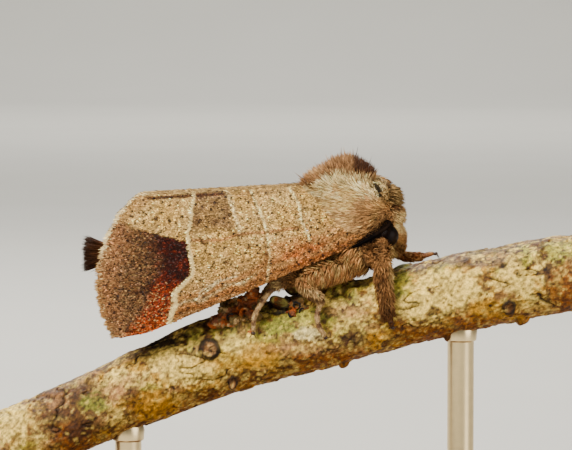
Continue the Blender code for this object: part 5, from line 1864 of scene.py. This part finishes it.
def sawn_end(points, first, start, around):
    """Rings that close in on the pith from the bark's rim: points, pith and faces."""
    rim = points[first : first + around]
    pith = rim.mean(axis=0)
    shares = np.linspace(1.0, 0.0, END_RINGS + 1)[1:-1]
    rings = (pith + (rim - pith) * shares[:, None, None]).reshape(-1, 3)
    inner = start + np.arange(len(rings)).reshape(-1, around)
    index = np.vstack([first + np.arange(around), inner])
    index = np.hstack([index, index[:, :1]])
    corners = (index[:-1, :-1], index[:-1, 1:], index[1:, 1:], index[1:, :-1])
    quads = np.stack(corners, axis=-1).reshape(-1, 4)
    return rings, pith, quads, fan(index[-1, :-1], start + len(rings))


def build_twig():
    """The perch: rough bark and two sawn ends."""
    columns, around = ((620, 240))
    x = np.linspace(TWIG_LINE[0][0], TWIG_LINE[-1][0], columns)
    grid_x, grid_a = np.meshgrid(x, full_turn(around), indexing="ij")
    points, out = twig_place(grid_x, grid_a)
    points = points.reshape(-1, 3)
    relief = bark_relief(points)
    tints = [bark_tint(points, relief)]
    points = points + out.reshape(-1, 3) * relief[:, None]
    parts = [points]
    quads = [grid_faces(columns, around, wrap=True)]
    triangles = []
    for first, step in ((0, 1), ((columns - 1) * around, -1)):
        start = sum(len(part) for part in parts)
        rings, pith, fours, threes = sawn_end(points, first, start, around)
        quads.append(fours[:, ::step])
        triangles.append(threes[:, ::step])
        parts.append(np.vstack([rings, pith]))
        tints.append(end_grain(parts[-1], pith))
    mesh = make_mesh("perch_bark", np.vstack(parts), [np.vstack(quads), np.vstack(triangles)])
    mesh.set_sharp_from_angle(angle=math.radians(60))
    set_tint(mesh, np.vstack(tints))
    material = tinted("bark", 0.6, 0.45, 0.07, 0.06, 0.08, Specular_IOR_Level=0.2)
    add_piece(mesh, material, ["perch_twig"])


# Lumps of the gall: x, y, z, size.
GALL_LUMPS = (
    (-4.0, -1.55, 17.85, 0.55),
    (-3.5, -1.35, 18.3, 0.6),
    (-3.1, -1.75, 18.0, 0.5),
    (-2.7, -1.1, 18.75, 0.6),
    (-2.45, -1.6, 18.35, 0.5),
    (-2.0, -1.0, 19.1, 0.5),
    (-1.95, -1.3, 19.6, 0.34),
    (-1.9, -1.8, 18.2, 0.4),
    (-3.2, -0.6, 18.7, 0.6),
    (0.35, -1.65, 18.85, 0.34),
    (0.75, -1.5, 19.05, 0.32),
    (0.95, -1.6, 18.7, 0.28),
    (0.3, -1.9, 18.4, 0.26),
)
GALL_VOXEL = 0.05
# Black curls: middle, radius, start and end of the turn in degrees.
CURLS = (
    ((0.6, -1.9, 18.85), 0.24, -40, 230),
    ((0.95, -1.85, 18.45), 0.22, 60, 330),
    ((0.35, -1.95, 18.3), 0.2, 150, 420),
    ((-3.3, -1.95, 18.1), 0.3, -60, 200),
    ((-2.6, -1.8, 18.4), 0.26, 40, 300),
    ((-3.9, -1.8, 17.9), 0.24, 100, 360),
)


def build_gall():
    """The knobbly dark gall with black curls, and the curled bud scales between the legs."""
    material = tinted("gall", 0.6, 0.6, 0.12, 0.1, 0.1, Specular_IOR_Level=0.3)
    lumps = [ball((x, y, z), (size, size * 0.85, size * 0.8), 30, 20) for x, y, z, size in GALL_LUMPS]
    points, quads = one_surface(lumps, GALL_VOXEL, 2)
    middle = points.mean(axis=0) * (1, 0, 1) + np.array((0.0, -0.9, 0.0))
    ridges = np.abs(rough(points, 0.5, 3, 95) - 0.5) * 2
    out = unit(points - middle)
    points = points + out * (0.22 - 0.7 * ridges)[:, None] * ramp(points[:, 2], 17.0, 17.8)[:, None]
    tone = rough(points, 0.45, 4, 96)
    colour = mix(GALL_BROWN, GALL_ORANGE, ramp(tone, 0.46, 0.58) * 0.85)
    colour = mix(colour, GALL_OLIVE, ramp(rough(points, 0.5, 3, 101), 0.52, 0.62) * 0.75)
    # Painted highlights: cream flecks on the gall.
    colour = mix(colour, GALL_HIGHLIGHT, ramp(rough(points, 0.3, 3, 104), 0.6, 0.68) * 0.8)
    # Painted shade: black-brown in the gall's sunken grooves.
    colour = mix(colour, BLACK_BROWN, ramp(ridges, 0.25, 0.55) * 0.75)
    parts = [(points, quads, np.empty((0, 3), int))]
    for place, radius, start, stop in CURLS:
        turns = np.radians(np.linspace(start, stop, 18))
        grow = radius * np.linspace(1.0, 0.6, 18)
        curl = (np.cos(turns) * grow, -0.25 * np.sin(turns * 0.5) * radius, np.sin(turns) * grow)
        line = np.stack(curl, axis=-1) + np.array(place)
        line = line + 0.1 * (np.stack([noise(line, 0.12, 109 + k) for k in range(3)], axis=-1) - 0.5)
        parts.append(tube(line, 0.03 + 0.05 * noise(line, 0.1, 112), 8))
    count = len(points)
    points, quads, triangles = joined(parts)
    mesh = make_mesh("perch_gall", points, [quads, triangles])
    black = np.repeat(BLACK[None], len(points) - count, axis=0)
    set_tint(mesh, np.vstack([colour, black]))
    add_piece(mesh, material, ["perch_bud"])
    build_bud_scales()


# Flakes among the legs: middle, half sizes and turn.
FLAKES = (
    ((0.45, -1.0, 20.1), (0.64, 0.8), 0.1),
    ((-0.4, -1.75, 19.05), (0.62, 0.34), -0.3),
)


def build_bud_scales():
    """Thin rough flakes with a raised dark rim."""
    material = tinted("bud scale", 0.6, 0.5, 0.08, 0.06, 0.08, Specular_IOR_Level=0.2)
    parts = []
    shades = []
    rings, spokes = 16, 48
    for middle, (wide, high), turn in FLAKES:
        share, angle = np.meshgrid(np.linspace(0.04, 1.0, rings), full_turn(spokes), indexing="ij")
        ragged = noise(np.stack([np.cos(angle), np.sin(angle)], axis=-1), 0.6, 102) - 0.5
        ragged = 1 + 0.3 * ragged * share
        x = np.cos(angle) * share * wide * ragged
        z = np.sin(angle) * share * high * ragged
        turned = (x * math.cos(turn) - z * math.sin(turn), 0 * x, x * math.sin(turn) + z * math.cos(turn))
        front = np.stack(turned, axis=-1) + np.array(middle)
        uneven = rough(front, 0.2, 2, 103) - 0.5
        front[..., 1] += 0.25 * (1 - share**2) - 0.1 * ramp(share, 0.75, 0.95) + 0.12 * uneven
        back = front + np.array((0.0, 0.08, 0.0))
        count = rings * spokes
        faces = grid_faces(rings, spokes, wrap=True)
        rim = np.arange(count - spokes, count)
        after = np.roll(rim, -1)
        band = np.stack([rim, rim + count, after + count, after], axis=1)
        hub = np.arange(spokes)
        lid = np.vstack([fan(hub, 2 * count), flipped(fan(hub + count, 2 * count + 1))])
        middles = (front[0].mean(axis=0), back[0].mean(axis=0))
        points = np.vstack([front.reshape(-1, 3), back.reshape(-1, 3), *middles])
        parts.append((points, np.vstack([faces, faces[:, ::-1] + count, band]), lid))
        tone = mix(FLAKE_OLIVE, FLAKE_BROWN, ramp(rough(points, 0.16, 2, 113), 0.4, 0.6))
        tone = mix(tone, FLAKE_ORANGE, ramp(rough(points, 0.3, 2, 115), 0.6, 0.7) * 0.7)
        edge = np.concatenate([np.tile(ramp(share.ravel(), 0.72, 0.86), 2), (0.0, 0.0)])
        shades.append(mix(tone, BLACK_BROWN, edge * 0.9))
    points, quads, triangles = joined(parts)
    mesh = make_mesh("perch_bud_scales", points, [quads, triangles])
    set_tint(mesh, np.vstack(shades))
    add_piece(mesh, material)


# The stand.

BASE_SIZE = (44.0, 25.0, 4.0)
BASE_BEVEL = 0.6
# The stain of the wood: places in its grain and their colours.
WOOD_STAIN = ((0.3, paint(62, 38, 24)), (0.7, paint(118, 76, 46)))
WOOD_STRETCH = (0.06, 1.0, 1.0)
WOOD_SCALE = 2200.0
WOOD_BUMP = 0.02
BRASS = (0.78, 0.60, 0.32)
# A rod's outline: height and radius at its foot and, from the twig's middle line, at its top.
ROD_FOOT = ((3.9, 1.5), (4.35, 1.5), (4.5, 1.4), (4.6, 1.0), (4.7, 0.85), (5.0, 0.8))
ROD_TOP = ((-2.9, 0.8), (-2.8, 0.95), (-2.2, 1.0), (-1.9, 0.9))
ROD_PLACES = {"rear": -9.5, "front": 10.5}


def wood_material():
    """Stained wood with its grain along the base."""
    material, nodes, links, shader, place = new_material("stained wood")
    set_inputs(shader, Roughness=0.38, Coat_Weight=0.25, Coat_Roughness=0.2)
    stretch = nodes.new("ShaderNodeMapping")
    set_inputs(stretch, Scale=WOOD_STRETCH)
    links.new(place, stretch.inputs["Vector"])
    grain = add_noise(nodes, links, stretch.outputs["Vector"], WOOD_SCALE, 9.0)
    blend = nodes.new("ShaderNodeValToRGB")
    for element, (position, colour) in zip(blend.color_ramp.elements, WOOD_STAIN):
        element.position = position
        element.color = (*colour, 1)
    links.new(grain, blend.inputs["Fac"])
    links.new(blend.outputs["Color"], shader.inputs["Base Color"])
    add_bump(nodes, links, shader, grain, WOOD_BUMP * MM)
    return material


def build_stand():
    """A flat wooden base with rounded upper edges, and two turned brass rods."""
    bm = bmesh.new()
    bmesh.ops.create_cube(bm, size=1.0)
    for vert in bm.verts:
        x, y, z = vert.co
        vert.co = Vector((x * BASE_SIZE[0], y * BASE_SIZE[1], (z + 0.5) * BASE_SIZE[2])) * MM
    upper = [e for e in bm.edges if max(v.co.z for v in e.verts) > MM]
    bmesh.ops.bevel(
        bm, geom=upper, offset=BASE_BEVEL * MM, segments=5, profile=0.6, affect="EDGES", clamp_overlap=True
    )
    mesh = bpy.data.meshes.new("stand_base_wood")
    bm.to_mesh(mesh)
    bm.free()
    mesh.shade_smooth()
    mesh.set_sharp_from_angle(angle=math.radians(40))
    add_piece(mesh, wood_material(), ["stand_base"])
    brass = tinted("brass", 0.28, 0.06, 0.5, 0.003, 0.2, Metallic=1.0)
    for word, x in ROD_PLACES.items():
        z, _ = twig_at(x)
        profile = ROD_FOOT + tuple((z + rise, radius) for rise, radius in ROD_TOP)
        heights, radii = np.array(profile).T
        line = np.stack([np.full(len(heights), x), np.zeros(len(heights)), heights], axis=-1)
        points, quads, triangles = tube(line, radii, 48, blunt=0.0)
        mesh = make_mesh(f"stand_rod_{word}_brass", points, [quads, triangles])
        mesh.set_sharp_from_angle(angle=math.radians(35))
        set_tint(mesh, np.repeat(np.array(BRASS)[None], len(points), axis=0))
        add_piece(mesh, brass, [f"stand_rod_{word}"])


# Camera, floor and light.


FLOOR_HALF_WIDTH = 900.0
FLOOR_FRONT = -700.0
# Where the floor starts to curve up, past a camera behind the moth, the curve's radius, and its top.
FLOOR_BEND = 750.0
FLOOR_CURVE = 150.0
FLOOR_TOP = 900.0
WORLD_COLOUR = (0.92, 0.96, 1.0, 1.0)
WORLD_STRENGTH = 0.2
# Lamps: name, place, size, power, spread in degrees, aim and colour. The last lights the far floor.
LAMPS = (
    ("key", (-160, -260, 330), 220, 4.0, 180, VIEW_MIDDLE, (1.0, 0.96, 0.9)),
    ("fill", (300, -220, 120), 300, 0.8, 180, VIEW_MIDDLE, (1.0, 0.98, 0.95)),
    ("back", (-60, 200, 260), 200, 1.6, 180, VIEW_MIDDLE, (1.0, 0.98, 0.94)),
    ("backdrop", (0, 640, 480), 200, 1.26, 100, (0, 640, 0), (1.0, 0.98, 0.94)),
)


def build_camera():
    """The camera at the photo's angle and framing."""
    e = math.radians(VIEW_ELEVATION)
    camera = bpy.data.cameras.new("camera")
    camera.sensor_width = SENSOR_WIDTH
    camera.lens = SENSOR_WIDTH * VIEW_DISTANCE / VIEW_WIDTH
    camera.clip_start = 0.01
    camera.clip_end = 10.0
    eye = bpy.data.objects.new("camera", camera)
    eye.location = Vector(VIEW_MIDDLE) * MM + Vector((0, -math.cos(e), math.sin(e))) * VIEW_DISTANCE * MM
    eye.rotation_euler = (math.radians(90) - e, 0, 0)
    bpy.context.scene.collection.objects.link(eye)
    bpy.context.scene.camera = eye


def build_floor():
    """A pale floor that curves up behind."""
    profile = [(FLOOR_FRONT, 0), (FLOOR_BEND, 0)]
    for a in np.linspace(0, math.pi / 2, 16)[1:]:
        profile.append((FLOOR_BEND + FLOOR_CURVE * math.sin(a), FLOOR_CURVE - FLOOR_CURVE * math.cos(a)))
    profile.append((FLOOR_BEND + FLOOR_CURVE, FLOOR_TOP))
    y, z = np.array(profile, float).T
    grid_x, grid_y = np.meshgrid((-FLOOR_HALF_WIDTH, FLOOR_HALF_WIDTH), y)
    points = np.stack([grid_x, grid_y, np.repeat(z[:, None], 2, axis=1)], axis=-1)
    mesh = make_mesh("floor", points.reshape(-1, 3), [grid_faces(len(y), 2)[:, ::-1]])
    set_tint(mesh, np.repeat(FLOOR_GREY[None], len(mesh.vertices), axis=0))
    mesh.materials.append(tinted("floor", 0.9, 0.02, 30.0))
    floor = bpy.data.objects.new("floor", mesh)
    bpy.context.scene.collection.objects.link(floor)


def build_lights():
    """A faint world, three soft lamps around the moth and one over the floor behind it."""
    world = bpy.data.worlds.new("studio")
    world.use_nodes = True
    set_inputs(world.node_tree.nodes["Background"], Color=WORLD_COLOUR, Strength=WORLD_STRENGTH)
    bpy.context.scene.world = world
    for name, place, size, power, spread, aim, colour in LAMPS:
        light = bpy.data.lights.new(name, "AREA")
        light.shape = "DISK"
        light.size = size * MM
        light.energy = power
        light.spread = math.radians(spread)
        light.color = colour
        lamp = bpy.data.objects.new(name, light)
        lamp.location = Vector(place) * MM
        way = Vector(aim) * MM - lamp.location
        lamp.rotation_euler = way.to_track_quat("-Z", "Y").to_euler()
        bpy.context.scene.collection.objects.link(lamp)


def main():
    """The studio, then every piece of the moth, its perch and its stand."""
    build_camera()
    build_floor()
    build_lights()
    points, faces = build_skin()
    skin = Skin(points, faces)
    build_wings()
    fur = tinted("fur", 0.65, 0.12, 0.05, Specular_IOR_Level=0.1)
    thorax_fur(skin, fur)
    head_fur(skin, fur)
    leg_fur(skin, fur)
    abdomen_fur(skin, fur)
    tail_brush(fur)
    build_eyes()
    build_antennae()
    build_claws()
    build_twig()
    build_gall()
    build_stand()


main()
